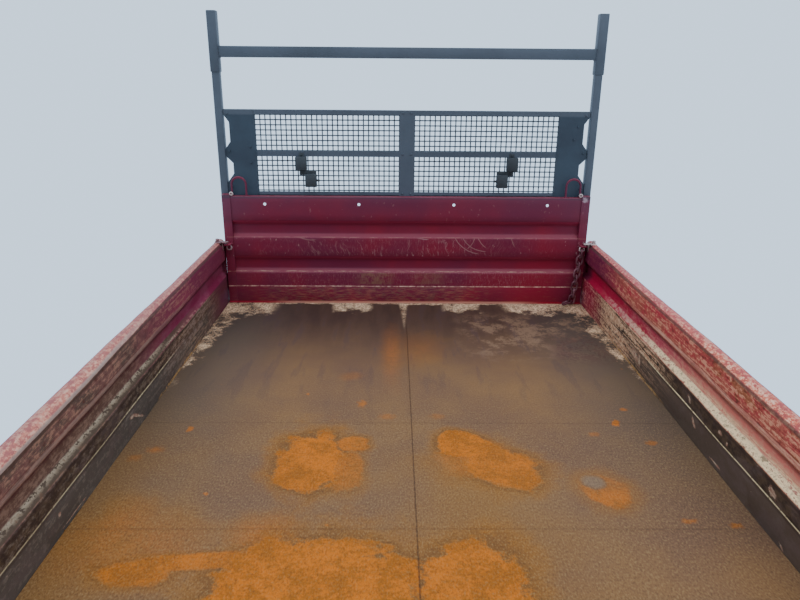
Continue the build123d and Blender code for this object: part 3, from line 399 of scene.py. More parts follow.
    # Rim, with the dark line under it
    above = z - y * 0.004 + (1 - tone) * y.rise(-0.9, -2.2) * 0.016 - 0.35
    f.lay(above.band(-0.011, 0.0, 0.003) * 0.75, "4A342A")
    rim = above.rise(0.0, 0.0012)
    edge = f.mix(near.rise(0.2, 0.9), "C4605E", "D86A4C")
    edge = f.mix(fine.rise(0.46, 0.6) * 0.55, edge, "F0B090")
    # Painted shade between the rim's flaking scales, in dark red
    edge = f.mix(flecks.rise(0.5, 0.44) * (0.35 + near * 0.4), edge, "983840")
    edge = f.mix(scales.rise(0.5, 0.55) * near.rise(0.3, 0.8) * 0.4, edge, "FFDCBC")
    grey = f.mix(flecks.rise(0.45, 0.55), "A47068", "BC8C7C")
    edge = f.mix(tone, f.mix(0.5, grey, edge), edge)
    # Painted shade on the rim's lower bevel: grey on the left, towards the tail
    lip = above.rise(0.014, 0.008) * near.rise(0.3, 0.8) * (1 - tone)
    edge = f.mix(lip * 0.8, edge, "A09084")
    edge = f.mix(up.rise(0.8, 0.95) * 0.4, edge, f.mix(tone, "7C3C40", "A84848"))
    edge = f.mix((abs(x) - RIM_X).rise(-0.003, -0.0015) * near.rise(0.3, 0.6), edge, "5C3C3C")
    f.lay(rim, edge)
    sprayed = f.mix(cloudy.rise(0.35, 0.65), "70182E", "8E2238")
    sprayed = f.mix(flecks.rise(0.6, 0.64), sprayed, RUST)
    outer = (right * x).rise(0.1, 0.4).most(ahead.rise(-0.3, -0.6) * y.rise(-3.05, -3.09))
    f.lay(outer, sprayed)  # the outer faces are hardly worn
    rough = 0.5 + fine * 0.25
    height = fine * 0.4 + speckle * 0.6
    return f.surface(rough, height, 0.0014, gloss=0.3)


RUST_PATCHES = (  # x, y back, half width, half length, turn, how bright, softness
    (-0.34, -1.61, 0.11, 0.17, 3, 1.0, 0.1),
    (-0.215, -1.51, 0.06, 0.05, 0, 0.8, 0.2),
    (-0.22, -1.67, 0.06, 0.12, 0, 0.65, 0.3),
    (0.18, -1.51, 0.09, 0.075, -20, 1.0, 0.1),
    (0.29, -1.65, 0.12, 0.115, -20, 0.9, 0.15),
    (0.22, -1.60, 0.13, 0.13, -30, 0.5, 0.4),
    (-0.26, -2.25, 0.25, 0.25, 0, 1.0, 0.1),
    (0.15, -2.22, 0.14, 0.19, 0, 0.95, 0.1),
    (-0.62, -2.10, 0.19, 0.035, 6, 0.8, 0.3),
    (-0.75, -2.14, 0.11, 0.05, 0, 0.8, 0.3),
    (-0.44, -1.98, 0.10, 0.07, 0, 0.4, 0.9),
    (-0.78, -2.04, 0.2, 0.13, 0, 0.28, 1.0),
    (-0.85, -2.0, 0.08, 0.14, 0, 0.3, 0.9),
    (-0.075, -0.74, 0.045, 0.3, 0, 0.32, 1.0),
    (0.06, -0.66, 0.09, 0.16, 0, 0.15, 1.0),
    (-0.25, -0.96, 0.05, 0.04, 30, 0.25, 0.8),
    (-0.19, -1.21, 0.02, 0.03, 0, 0.6, 0.5),
    (-0.81, -1.41, 0.012, 0.02, 0, 0.7, 0.4),
    (-0.89, -1.55, 0.03, 0.02, 0, 0.5, 0.9),
    (-0.94, -1.60, 0.025, 0.025, 0, 0.4, 0.9),
    (0.10, -1.31, 0.025, 0.02, 0, 0.35, 0.7),
    (-0.09, -1.31, 0.03, 0.025, 0, 0.35, 0.7),
    (0.765, -1.36, 0.014, 0.025, -20, 0.9, 0.4),
    (0.83, -1.25, 0.015, 0.015, 0, 0.6, 0.5),
    (0.66, -1.44, 0.02, 0.015, 0, 0.4, 0.6),
    (0.85, -1.50, 0.02, 0.015, 0, 0.6, 0.5),
    (0.80, -1.93, 0.025, 0.012, 0, 0.6, 0.5),
    (0.93, -1.95, 0.02, 0.012, 0, 0.7, 0.5),
    (0.45, -2.72, 0.22, 0.16, 0, 0.8, 0.4),
    (-0.58, -2.78, 0.16, 0.12, 0, 0.7, 0.4),
)


def floor_finish():
    f = Finish("floor_rust")
    place = f.level()
    x, y, _ = f.parts(place)
    up = f.facing()[2]
    cloudy = f.noise(place, 2.4, 5, 0.6)
    broad = f.noise(f.stretch(place, 1, 0.8, 1), 1.3, 3)
    ragged = f.noise(place, 9, 6, 0.72)
    drift = f.noise(place, 3.4, 3)
    grain = f.noise(f.stretch(place, 1, 0.55, 1), 190, 3, 0.6)
    speckle = f.noise(place, 60, 4, 0.7)
    swept = f.noise(f.stretch(place, 5, 0.8, 1), 3.2, 4, 0.6)
    f.base = f.mix(cloudy.rise(0.3, 0.7), "70503A", "805C3A")
    f.lay(y.rise(-1.1, -0.2) * 0.85, f.mix(swept.rise(0.35, 0.7), "3A2A28", "4E3830"))
    # Painted sky reflection: bluish grey along both sides of the floor, away from the tail
    f.lay(abs(x).rise(0.45, 0.95) * y.rise(-2.3, -1.2) * 0.6, "504840")
    f.lay(swept.rise(0.54, 0.64) * y.rise(-1.7, -0.4) * 0.4, "463638")
    warm = y.rise(-1.0, -2.0) * broad.rise(0.38, 0.62) * x.rise(0.75, 0.2)
    f.lay(warm * 0.35, "94600F")
    coarse = (y + abs(x) * 0.3).rise(-0.5, -1.5)  # the gritty part
    # Rust patches, each with a bright core, a faint halo and a dark rim
    core, halo, rim = 0, 0, 0
    edge = (drift - 0.5) * 1.0 + (ragged - 0.5) * 1.5
    lumpy = edge + (speckle - 0.5) * 3
    for across, back, half_width, half_length, turn, bright, soft in RUST_PATCHES:
        u, v = patch_place(x - across, y - back, half_width, half_length, turn)
        distance = (u**2.6 + v**2.6) ** 0.4 + (edge if half_width > 0.03 else lumpy)
        core = (distance.rise(1.0 + soft / 2, 1.0 - soft) * bright).most(core)
        if half_width > 0.05:
            halo = (distance.rise(1.75, 0.95) * bright).most(halo)
            rim = (distance.band(1.02, 1.2, 0.1) * bright * (1 - soft)).most(rim)
    # A patch that is grey in its middle
    hollow = ((x - 0.6) ** 2 + ((y + 1.78) * 0.9) ** 2) ** 0.5 + (ragged - 0.5) * 0.09
    middle = ((x - 0.575) ** 2 + (y + 1.735) ** 2) ** 0.5 + (ragged - 0.5) * 0.04
    ring = hollow.rise(0.085, 0.065) * middle.rise(0.035, 0.045) * (0.35 + y.rise(-1.74, -1.82) * 0.35)
    core = ring.most(core)
    halo = (hollow.rise(0.14, 0.08) * 0.5).most(halo)
    dots = f.noise(place, 13, 2).rise(0.73, 0.77) * y.rise(-0.7, -1.0) * 0.6
    f.lay(halo * 0.6, "965A06")
    f.lay(rim * ragged.rise(0.35, 0.55) * 0.5, "4A2E1A")
    patch = f.mix((speckle * 0.4 + ragged * 0.6).rise(0.42, 0.58), "9A5400", "C86800")
    f.lay(core.most(dots) * 0.92, patch)
    f.lay(middle.rise(0.045, 0.02) * 0.5, "7A6C5C")
    # Painted highlight on the grit's ridges and painted shade in its hollows, over the grit's own bump
    f.lay(grain.rise(0.5, 0.7) * coarse * (0.4 - core * 0.15), "A28458")
    f.lay(grain.rise(0.5, 0.32) * coarse * 0.4, "3E2A1C")
    # Seams between the floor's plates
    seam = abs(x).rise(0.0034, 0.0014) * (0.4 + speckle.rise(0.4, 0.6) * 0.3)
    for back in (-1.361, -1.966):
        seam = seam.most(abs(y - back).rise(0.006, 0.003) * speckle.rise(0.35, 0.5) * 0.2)
    f.lay(seam * y.rise(-0.25, -0.5), "3A2216")
    # Cream where the paint has gone: lobes at the front, the corners and the seam
    broken = speckle * 0.45 + grain * 0.15 + ragged * 0.4 + y.rise(-0.22, -0.06) * 0.04
    broken = broken.rise(0.48, 0.52)
    cream = f.mix(speckle.rise(0.42, 0.6), "FAD2A8", "9A7458")
    dusty = x.band(0.3, 0.95, 0.1) * y.band(-0.75, -0.22, 0.1)
    dusty = dusty * (ragged * 0.6 + cloudy * 0.4).rise(0.46, 0.56)
    f.lay(dusty * (0.15 + broken * 0.45), "947258")
    f.lay(x.band(0.68, 0.95, 0.05) * y.band(-0.8, -0.5, 0.08) * broken * 0.7, "4C302C")
    wavy = x + (drift - 0.5) * 0.12
    lobes = wavy.rise(-0.68, -0.76).most(wavy.band(-0.41, -0.2, 0.02)).most(wavy.rise(0.52, 0.58))
    lobes = lobes.most(wavy.band(0.22, 0.43, 0.02) * 0.9)
    deeper = abs(x).rise(0.6, 0.75) * 0.05
    front = (y + deeper + (ragged - 0.5) * 0.35).rise(-0.16, -0.1) * lobes
    front = front.most((y + (ragged - 0.5) * 0.1).rise(-0.03, -0.015) * 0.8)
    reach = y.rise(-1.1, -0.1) * 0.09 + (ragged - 0.5) * 0.25 + (speckle - 0.5) * 0.15
    corners = (abs(x) + reach).rise(0.99, 1.02) * y.rise(-1.15, -0.85)
    chips = front.most(corners) * broken
    f.lay(chips, cream)
    near_seam = (abs(x + 0.012) + y * -0.06).rise(0.032, 0.012) * y.rise(-0.5, -0.2)
    f.lay(near_seam * (speckle * 0.6 + ragged * 0.4).rise(0.46, 0.5), cream)
    f.lay(up.rise(-0.3, -0.7), f.mix(cloudy.rise(0.4, 0.6), "332E2A", "4A3A2C"))
    rough = 0.7 - y.rise(-1.2, -0.1) * 0.18
    height = grain * coarse + ragged * 0.4 + chips * 0.4
    return f.surface(rough, height, 0.002, gloss=0.2)


def painted_steel(name, paint, worn, rust=0.62):
    """Old sprayed steel: dulled in clouds, chipped to rust in small spots."""
    f = Finish(name)
    cloudy = f.noise(f.here, 3, 5)
    fine = f.noise(f.here, 45, 4, 0.65)
    f.base = f.mix(cloudy.rise(0.35, 0.7), paint, worn)
    spots = (fine * 0.6 + cloudy * 0.4).rise(rust, rust + 0.04)
    f.lay(spots, RUST)
    return f.surface(0.45 + fine * 0.25, fine - spots, 0.0006)


def rack_finish():
    f = Finish("rack_slate_paint")
    place = f.level()
    x, _, z = f.parts(place)
    cloudy = f.noise(place, 3, 5)
    fine = f.noise(place, 45, 4, 0.65)
    f.base = f.mix(cloudy.rise(0.35, 0.7), "4E5662", "424A55")
    # The guard's side plates are darker than the tubes
    sheet = abs(x).rise(0.79, 0.80) * abs(x).rise(0.972, 0.962) * z.rise(1.03, 1.02)
    f.lay(sheet, f.mix(cloudy.rise(0.4, 0.6), "344250", "2A3644"))
    spots = (fine * 0.6 + cloudy * 0.4).rise(0.7, 0.74)
    f.lay(spots, RUST)
    return f.surface(0.45 + fine * 0.25, fine - spots, 0.0006)


def bare_metal(name, bright, dull, metallic, shine=0.35):
    """Plated or worn steel with a dull bloom."""
    f = Finish(name)
    cloudy = f.noise(f.here, 8, 4)
    fine = f.noise(f.here, 120, 3)
    f.base = f.mix(cloudy.rise(0.35, 0.65), bright, dull)
    return f.surface(shine + cloudy * 0.25, fine, 0.0002, metallic)


def rubber_finish():
    f = Finish("landing_rubber")
    fine = f.noise(f.here, 200, 3)
    f.base = f.mix(f.noise(f.here, 12).rise(0.4, 0.7), "1C1C1C", "3A3632")
    return f.surface(0.75 + fine * 0.15, fine, 0.0004)


finishes = {
    "red_paint": headboard_finish(),
    "side_paint": side_finish(),
    "floor_rust": floor_finish(),
    "subframe_steel": painted_steel("subframe_black", "23262A", "3A3B3C"),
    "bed_steel": painted_steel("bed_dark_steel", "2C2E31", "463E38", 0.56),
    "rack_paint": rack_finish(),
    "mesh_wire": painted_steel("mesh_slate_wire", "303C46", "3C4650", 0.72),
    "lamp_housing": painted_steel("lamp_black", "2E3338", "3A4045", 0.8),
    "latch_zinc": bare_metal("latch_zinc", "A79A98", "6A4A4C", 0.6),
    "latch_bright": bare_metal("latch_bright", "E4D2CC", "8C6668", 0.5, 0.4),
    "chain_rust": bare_metal("chain_rust", "96646C", "541C2A", 0.4, 0.4),
    "ram_paint": painted_steel("ram_grey_paint", "5C6468", "484C4E", 0.64),
    "ram_chrome": bare_metal("ram_chrome", "D8DADB", "B4B6B8", 1.0, 0.12),
    "landing_rubber": rubber_finish(),
}
for node in frame["nodes"].values():
    for material_slot in node.material_slots:
        material_slot.material = finishes[material_slot.material.name]


# Modelling helpers

def active(name):
    """The primitive that was just added, with its new name."""
    piece = bpy.context.object
    piece.name = name
    return piece


def select(piece, kind, test):
    """In edit mode, leave only the vertices, edges or faces selected that pass a test."""
    bpy.context.view_layer.objects.active = piece
    bpy.ops.object.mode_set(mode="EDIT")
    bpy.ops.mesh.select_mode(type=kind)
    bpy.ops.mesh.select_all(action="DESELECT")
    shape = bmesh.from_edit_mesh(piece.data)
    for element in {"VERT": shape.verts, "EDGE": shape.edges, "FACE": shape.faces}[kind]:
        if test(element):
            element.select_set(True)
    shape.select_flush_mode()
    bmesh.update_edit_mesh(piece.data)


def leave_edit():
    bpy.ops.object.mode_set(mode="OBJECT")


def apply_modifier(piece, kind, **settings):
    """Add a modifier with its settings and make it part of the mesh."""
    bpy.context.view_layer.objects.active = piece
    modifier = piece.modifiers.new(kind.lower(), kind)
    for name, value in settings.items():
        setattr(modifier, name, value)
    bpy.ops.object.modifier_apply(modifier=modifier.name)


def pick(*pieces):
    """Select pieces, the first one active."""
    bpy.ops.object.select_all(action="DESELECT")
    for piece in pieces:
        piece.select_set(True)
    bpy.context.view_layer.objects.active = pieces[0]


def join(pieces, name):
    """Make pieces one object."""
    pick(*pieces)
    bpy.ops.object.join()
    joined = active(name)
    joined.select_set(False)
    return joined


def move(piece, matrix):
    """Turn or move a piece, with its place kept in its mesh."""
    pick(piece)  # this also brings matrix_world up to date
    piece.matrix_world = matrix @ piece.matrix_world
    bpy.ops.object.transform_apply()
    piece.select_set(False)
    return piece


def copy(piece, name, matrix):
    """A copy with its own mesh, turned or moved."""
    twin = piece.copy()
    twin.data = piece.data.copy()
    twin.name = name
    bpy.context.collection.objects.link(twin)
    return move(twin, matrix)


def mirrored(piece, name):
    """The twin on the bed's other side."""
    twin = copy(piece, name, Matrix.Scale(-1, 4, (1, 0, 0)))
    select(twin, "FACE", lambda face: True)
    bpy.ops.mesh.flip_normals()
    leave_edit()
    return twin


def fit(parts, name, finish, *nodes, slot="", body="bed", turn=RAISED, smooth=35):
    """Join parts, turn them up with the bed, hang them on what carries them, and hide the nodes they
    stand for.
    """
    piece = move(join(parts, name), turn)
    piece.data.materials.clear()
    piece.data.materials.append(finishes[finish])
    pick(piece)
    bpy.ops.object.shade_smooth_by_angle(angle=math.radians(smooth))
    piece.select_set(False)
    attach(piece, body)
    if nodes:
        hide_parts(*nodes)


def fit_pair(parts, name, finish, node="", on_side=False, slot=""):
    """The same for parts on the right and for their twin on the left."""
    right = join(parts, name + "_right")
    left = mirrored(right, name + "_left")
    for side, piece in (("right", right), ("left", left)):
        nodes = [f"{node}_{side}"] if node else []
        body = f"{side}_side" if on_side else "bed"
        fit([piece], piece.name, finish, *nodes, slot=slot, body=body)


def folded_sheet(path, run, bend, cuts):
    """A sheet folded along a path and drawn out along run, cut up fine enough to dent."""
    path = [Vector(point) for point in path]
    run = Vector(run)
    along = run.normalized()
    bpy.ops.mesh.primitive_plane_add(size=1)
    sheet = active("sheet")
    corners = (path[0], path[0] + run, path[1], path[1] + run)
    for vertex, corner in zip(sheet.data.vertices, corners):
        vertex.co = corner
    select(sheet, "EDGE", lambda edge: all(
        min((v.co - corner).length for corner in corners[2:]) < 1e-5 for v in edge.verts))
    for start, end in zip(path[1:], path[2:]):
        bpy.ops.mesh.extrude_region_move(TRANSFORM_OT_translate={"value": end - start})
    leave_edit()

    def is_lengthwise(edge):
        return abs((edge.verts[1].co - edge.verts[0].co).normalized().dot(along)) > 0.99

    if bend:
        select(sheet, "EDGE", lambda edge: is_lengthwise(edge) and len(edge.link_faces) == 2)
        bpy.ops.mesh.bevel(offset=bend, segments=3, affect="EDGES")
        leave_edit()
    select(sheet, "EDGE", is_lengthwise)
    bpy.ops.mesh.subdivide(number_cuts=cuts)
    leave_edit()
    select(sheet, "EDGE", lambda edge: not is_lengthwise(edge) and edge.calc_length() > 0.05)
    bpy.ops.mesh.subdivide(number_cuts=3)
    leave_edit()
    return sheet


def dent(piece, size, depth, direction, group=""):
    """Make a sheet uneven, by dents of a size and a depth."""
    texture = bpy.data.textures.new("dents", "CLOUDS")
    texture.noise_scale = size
    texture.noise_depth = 1
    apply_modifier(
        piece, "DISPLACE", texture=texture, strength=depth, mid_level=0.5, direction=direction,
        texture_coords="LOCAL", vertex_group=group)


def mark_vertices(piece, name, test):
    """A vertex group of what passes a test."""
    group = piece.vertex_groups.new(name=name)
    group.add([vertex.index for vertex in piece.data.vertices if test(vertex.co)], 1, "REPLACE")
    return name


def turn_towards(direction):
    """A turn that points Z along a direction."""
    return Vector(direction).to_track_quat("Z", "Y").to_matrix().to_4x4()


def bar(low, high, edge=0.002):
    """A flat, strip or tube with its edges rounded, between two corners."""
    low, high = Vector(low), Vector(high)
    bpy.ops.mesh.primitive_cube_add(size=1, location=(low + high) / 2)
    piece = active("bar")
    piece.scale = high - low
    move(piece, Matrix())
    apply_modifier(piece, "BEVEL", width=edge, segments=2)
    return piece


def rod(start, end, radius, sides=16, edge=0.001):
    """A round bar with its ends chamfered."""
    start, end = Vector(start), Vector(end)
    bpy.ops.mesh.primitive_cylinder_add(vertices=sides, radius=radius, depth=(end - start).length)
    piece = active("rod")
    move(piece, Matrix.Translation((start + end) / 2) @ turn_towards(end - start))
    if edge:
        apply_modifier(piece, "BEVEL", width=edge, segments=2, limit_method="ANGLE")
    return piece


def plate(outline, thick, edge=0.001):
    """A flat plate: its outline's corners in order, drawn out by the vector thick."""
    bpy.ops.mesh.primitive_circle_add(vertices=len(outline), radius=1, fill_type="NGON")
    piece = active("plate")
    for vertex, corner in zip(piece.data.vertices, outline):
        vertex.co = Vector(corner)
    select(piece, "FACE", lambda face: True)
    bpy.ops.mesh.extrude_region_move(TRANSFORM_OT_translate={"value": Vector(thick)})
    bpy.ops.mesh.select_all(action="SELECT")
    bpy.ops.mesh.normals_make_consistent(inside=False)
    leave_edit()
    if edge:
        apply_modifier(piece, "BEVEL", width=edge, segments=2, limit_method="ANGLE")
    return piece


def bead(start, end, radius, step=0.006):
    """A weld bead: drops laid one over the next."""
    start, end = Vector(start), Vector(end)
    length = (end - start).length
    bpy.ops.mesh.primitive_uv_sphere_add(segments=8, ring_count=6, radius=radius)
    piece = active("bead")
    piece.scale = (1, 1, 1.1)
    move(piece, Matrix())
    apply_modifier(
        piece, "ARRAY", count=int(length / step) + 1, use_relative_offset=False,
        use_constant_offset=True, constant_offset_displace=(0, 0, step))
    return move(piece, Matrix.Translation(start) @ turn_towards(end - start))


def ring(middle, axis, radius, rod_radius, flat=1.0):
    """A closed ring of round rod about an axis, flattened or thickened along it."""
    bpy.ops.mesh.primitive_torus_add(
        major_segments=28, minor_segments=10, major_radius=radius, minor_radius=rod_radius)
    piece = active("ring")
    turn = turn_towards(axis)
    return move(piece, Matrix.Translation(middle) @ turn @ Matrix.Diagonal((1, 1, flat, 1)))


def pin_end(middle, outwards, radius):
    """What holds a pin: a washer, the pin's turned end and a split pin through it."""
    middle, outwards = Vector(middle), Vector(outwards).normalized()
    through = outwards.orthogonal().normalized()
    washer = rod(middle, middle + outwards * 0.003, radius * 1.5, 20, 0.0005)
    end = rod(middle, middle + outwards * 0.012, radius, 20, 0.0015)
    hole = middle + outwards * 0.0075
    split = rod(hole - through * radius * 1.4, hole + through * radius * 1.5, radius * 0.2, 8, 0)
    head = ring(hole - through * radius * 1.6, outwards, radius * 0.35, radius * 0.15)
    return join([washer, end, split, head], "pin_end")


def bolt(size):
    """A hexagon head on a washer, standing up from the origin along Z."""
    head = rod((0, 0, size * 0.2), (0, 0, size * 0.85), size * 0.9, 6, size * 0.08)
    washer = rod((0, 0, 0), (0, 0, size * 0.2), size * 1.15, 20, size * 0.05)
    shank = rod((0, 0, size * 0.8), (0, 0, size * 1.1), size * 0.5, 12, size * 0.08)
    return join([head, washer, shank], "bolt")


def bolts(name, size, places, toward):
    """Bolts of one size at places, their heads towards a direction."""
    turn = turn_towards(toward)
    first = bolt(size)
    row = [copy(first, "bolt", Matrix.Translation(spot) @ turn) for spot in places]
    bpy.data.objects.remove(first)
    return join(row, name)


# The bed's sheets

SHEET = 0.003
BEND = 0.006  # how far a fold is cut back before it is rounded
GROOVE = 0.021  # depth of a pressed groove
GROOVE_HEIGHT = 0.094
GROOVES = (0.177, 0.376)  # lower edges on the headboard
SIDE_GROOVE = 0.157
HEAD_X = level_box("headboard")[1].x
HEAD_HEM = 0.04
HOLE_Z = FLOOR + 0.562  # the four punched holes
RIM_TURN_IN = SIDE_HEIGHT - 0.045  # lower edge of a rim's folded lip


def pressed_wall(grooves, bottom, top):
    """The folds of a wall from its foot up, as how far out and how high."""
    folds = [(0, bottom)]
    for low in grooves:
        folds += [
            (0, low),
            (GROOVE, low + GROOVE),
            (GROOVE, low + GROOVE_HEIGHT - GROOVE),
            (0, low + GROOVE_HEIGHT),
        ]
    return folds + [(0, top)]


def make_headboard():
    folds = pressed_wall(GROOVES, -0.06, HEAD_HEIGHT)
    folds += [(HEAD_HEM, HEAD_HEIGHT), (HEAD_HEM, HEAD_HEIGHT - 0.03)]
    path = [(-HEAD_X, HEAD + out, FLOOR + up) for out, up in folds]
    sheet = folded_sheet(path, (2 * HEAD_X, 0, 0), BEND, 70)
    dent(sheet, 0.35, 0.007, "Y")
    dent(sheet, 0.07, 0.0016, "Y")
    apply_modifier(sheet, "SOLIDIFY", thickness=SHEET, offset=-1)
    for x in (-0.765, -0.257, 0.257, 0.765):
        drill = rod((x, HEAD - 0.05, HOLE_Z), (x, HEAD + 0.02, HOLE_Z), 0.008, 20, 0)
        apply_modifier(sheet, "BOOLEAN", object=drill, operation="DIFFERENCE")
        bpy.data.objects.remove(drill)
    ribs = [
        bar((x - 0.025, HEAD + GROOVE + SHEET, FLOOR - 0.04), (x + 0.025, HEAD + HEAD_HEM, FLOOR + 0.58))
        for x in (-0.5, 0, 0.5)
    ]
    wear = bar((-HEAD_X, HEAD - SHEET, FLOOR), (HEAD_X, HEAD, FLOOR + WEAR), 0.001)
    foot = [(x, HEAD - SHEET, FLOOR + 0.002) for x in (-HEAD_X, HEAD_X)]
    parts = [sheet, wear, bead(*foot, 0.004), *ribs]
    fit(parts, "headboard_pressing", "red_paint", "headboard")


STRAPS = [0.15 + 0.66 * n for n in range(5)]
STRAP_WIDTH = 0.05
STRAP_TOP = FLOOR + 0.14
SIDE_PIN = (1.025, FLOOR - 0.028)  # hinge line of a dropside: out and up
SIDE_REAR = TAIL + 0.002
SIDE_FRONT = level_box("dropside_right")[1].y


def make_dropsides():
    rim_out = RIM_X - SIDE_X
    folds = pressed_wall((SIDE_GROOVE,), -0.008, SIDE_HEIGHT - 0.018)
    folds += [(0.018, SIDE_HEIGHT), (rim_out, SIDE_HEIGHT), (rim_out, RIM_TURN_IN), (0.012, RIM_TURN_IN)]
    path = [(SIDE_X + out, SIDE_REAR, FLOOR + up) for out, up in folds]
    sheet = folded_sheet(path, (0, SIDE_FRONT - SIDE_REAR, 0), BEND, 110)
    rim = mark_vertices(sheet, "rim", lambda co: co.z > FLOOR + RIM_TURN_IN - 0.01)
    dent(sheet, 0.3, 0.006, "X")
    dent(sheet, 0.22, 0.005, "Z", rim)
    dent(sheet, 0.06, 0.0014, "X")
    apply_modifier(sheet, "SOLIDIFY", thickness=SHEET, offset=-1)
    end_folds = [(0, -0.008), (0, SIDE_HEIGHT - 0.02), (0.018, SIDE_HEIGHT - 0.002)]
    end_folds += [(rim_out - 0.002, SIDE_HEIGHT - 0.002), (rim_out - 0.002, RIM_TURN_IN)]
    end_folds += [(GROOVE + SHEET, SIDE_GROOVE + GROOVE_HEIGHT), (GROOVE + SHEET, 0.06), (0.006, -0.008)]
    ends = [
        plate([(SIDE_X + out, y, FLOOR + up) for out, up in end_folds], (0, 0.004, 0))
        for y in (SIDE_REAR, SIDE_FRONT - 0.004)
    ]
    wear = bar((SIDE_X - SHEET, SIDE_REAR, FLOOR + 0.006), (SIDE_X, SIDE_FRONT, FLOOR + WEAR), 0.001)
    straps = []
    out = SIDE_X + SHEET
    for y in STRAPS:
        rear, front = y - STRAP_WIDTH / 2, y + STRAP_WIDTH / 2
        straps += [
            bar((out, rear, SIDE_PIN[1]), (out + 0.006, front, STRAP_TOP)),
            rod((SIDE_PIN[0], rear, SIDE_PIN[1]), (SIDE_PIN[0], front, SIDE_PIN[1]), 0.015, 24),
            bead((out + 0.003, rear, STRAP_TOP), (out + 0.003, front, STRAP_TOP), 0.003),
            *[bead((out, y, FLOOR + 0.01), (out, y, STRAP_TOP - 0.003), 0.003) for y in (rear, front)],
        ]
    parts = [sheet, wear, *ends, *straps]
    fit_pair(parts, "dropside_pressing", "side_paint", "dropside", on_side=True)


TAIL_DEPTH = 0.037  # of the tailboard's folded edges
CLAW_X = 0.9  # where the tailboard's lower pins stand
PIVOT = (TAIL - 0.026, FLOOR + 0.34)  # of the tailboard's upper pins: forward and up


def make_tailboard():
    inner = TAIL - 0.008
    width = level_box("tailboard")[1].x - 0.022  # the pins stand out by the rest
    folds = pressed_wall((SIDE_GROOVE,), -0.04, SIDE_HEIGHT - 0.012)
    folds += [(0.012, SIDE_HEIGHT), (TAIL_DEPTH, SIDE_HEIGHT)]
    folds += [(TAIL_DEPTH, RIM_TURN_IN), (0.012, RIM_TURN_IN)]
    path = [(-width, inner - out, FLOOR + up) for out, up in folds]
    sheet = folded_sheet(path, (2 * width, 0, 0), BEND, 80)
    dent(sheet, 0.3, 0.006, "Y")
    dent(sheet, 0.06, 0.0014, "Y")
    apply_modifier(sheet, "SOLIDIFY", thickness=SHEET, offset=1)
    end_folds = [(0, -0.04), (0, SIDE_HEIGHT - 0.013), (0.012, SIDE_HEIGHT - 0.002)]
    end_folds += [(TAIL_DEPTH - 0.002, SIDE_HEIGHT - 0.002), (TAIL_DEPTH - 0.002, RIM_TURN_IN)]
    end_folds += [(GROOVE + SHEET, SIDE_GROOVE + GROOVE_HEIGHT), (GROOVE + SHEET, -0.04)]
    parts = [sheet]
    for x in (-width, width - 0.006):
        parts.append(plate([(x, inner - out, FLOOR + up) for out, up in end_folds], (0.006, 0, 0)))
    claw = (inner - 0.012, FLOOR - 0.072)
    round_claw = [math.radians(180 + 15 * n) for n in range(13)]
    outline = [(claw[0] + 0.014 * math.cos(a), claw[1] + 0.014 * math.sin(a)) for a in round_claw]
    outline += [(inner, FLOOR - 0.02), (inner, FLOOR), (inner - 0.024, FLOOR)]
    for side in SIDES:
        parts.append(rod((side * (width - 0.006), *PIVOT), (side * (width + 0.022), *PIVOT), 0.01, 24))
        middle = side * CLAW_X
        parts.append(rod((middle - 0.025, *claw), (middle + 0.025, *claw), 0.008, 24))
        for x in (middle - 0.025, middle + 0.017):
            parts.append(plate([(x, y, z) for y, z in outline], (0.008, 0, 0)))
    fit(parts, "tailboard_pressing", "side_paint", "tailboard", body="tailboard")


def make_floor():
    width = floor_high.x
    path = [(x, TAIL, FLOOR) for x in (-width, -0.003)] + [(0, TAIL, FLOOR - 0.0015)]
    path += [(x, TAIL, FLOOR) for x in (0.003, width)]
    sheet = folded_sheet(path, (0, HEAD - TAIL, 0), 0, 90)
    select(sheet, "EDGE", lambda edge: abs(edge.verts[0].co.x - edge.verts[1].co.x) > 0.1)
    bpy.ops.mesh.subdivide(number_cuts=9)
    leave_edit()
    dent(sheet, 0.45, 0.0035, "Z")
    apply_modifier(sheet, "SOLIDIFY", thickness=0.0035, offset=1)
    seams = [
        bead((-width, HEAD - back, FLOOR - 0.003), (width, HEAD - back, FLOOR - 0.003), 0.0034, 0.007)
        for back in (1.369, 1.971)
    ]
    fit([sheet, *seams], "floor_sheet", "floor_rust", "floor_plate")


# Ladder rack and guard

RACK_Y = level_box("rack_upright_right")[0].y
UPRIGHT = 0.04
UPRIGHT_X = 0.986
SLEEVE = 0.048  # the tubes at the top are wider
SLEEVE_LOW, BAR_LOW, BAR_HIGH, RACK_TOP = (FLOOR + z for z in (1.234, 1.306, 1.360, 1.526))
TUBE_EDGE = 0.004


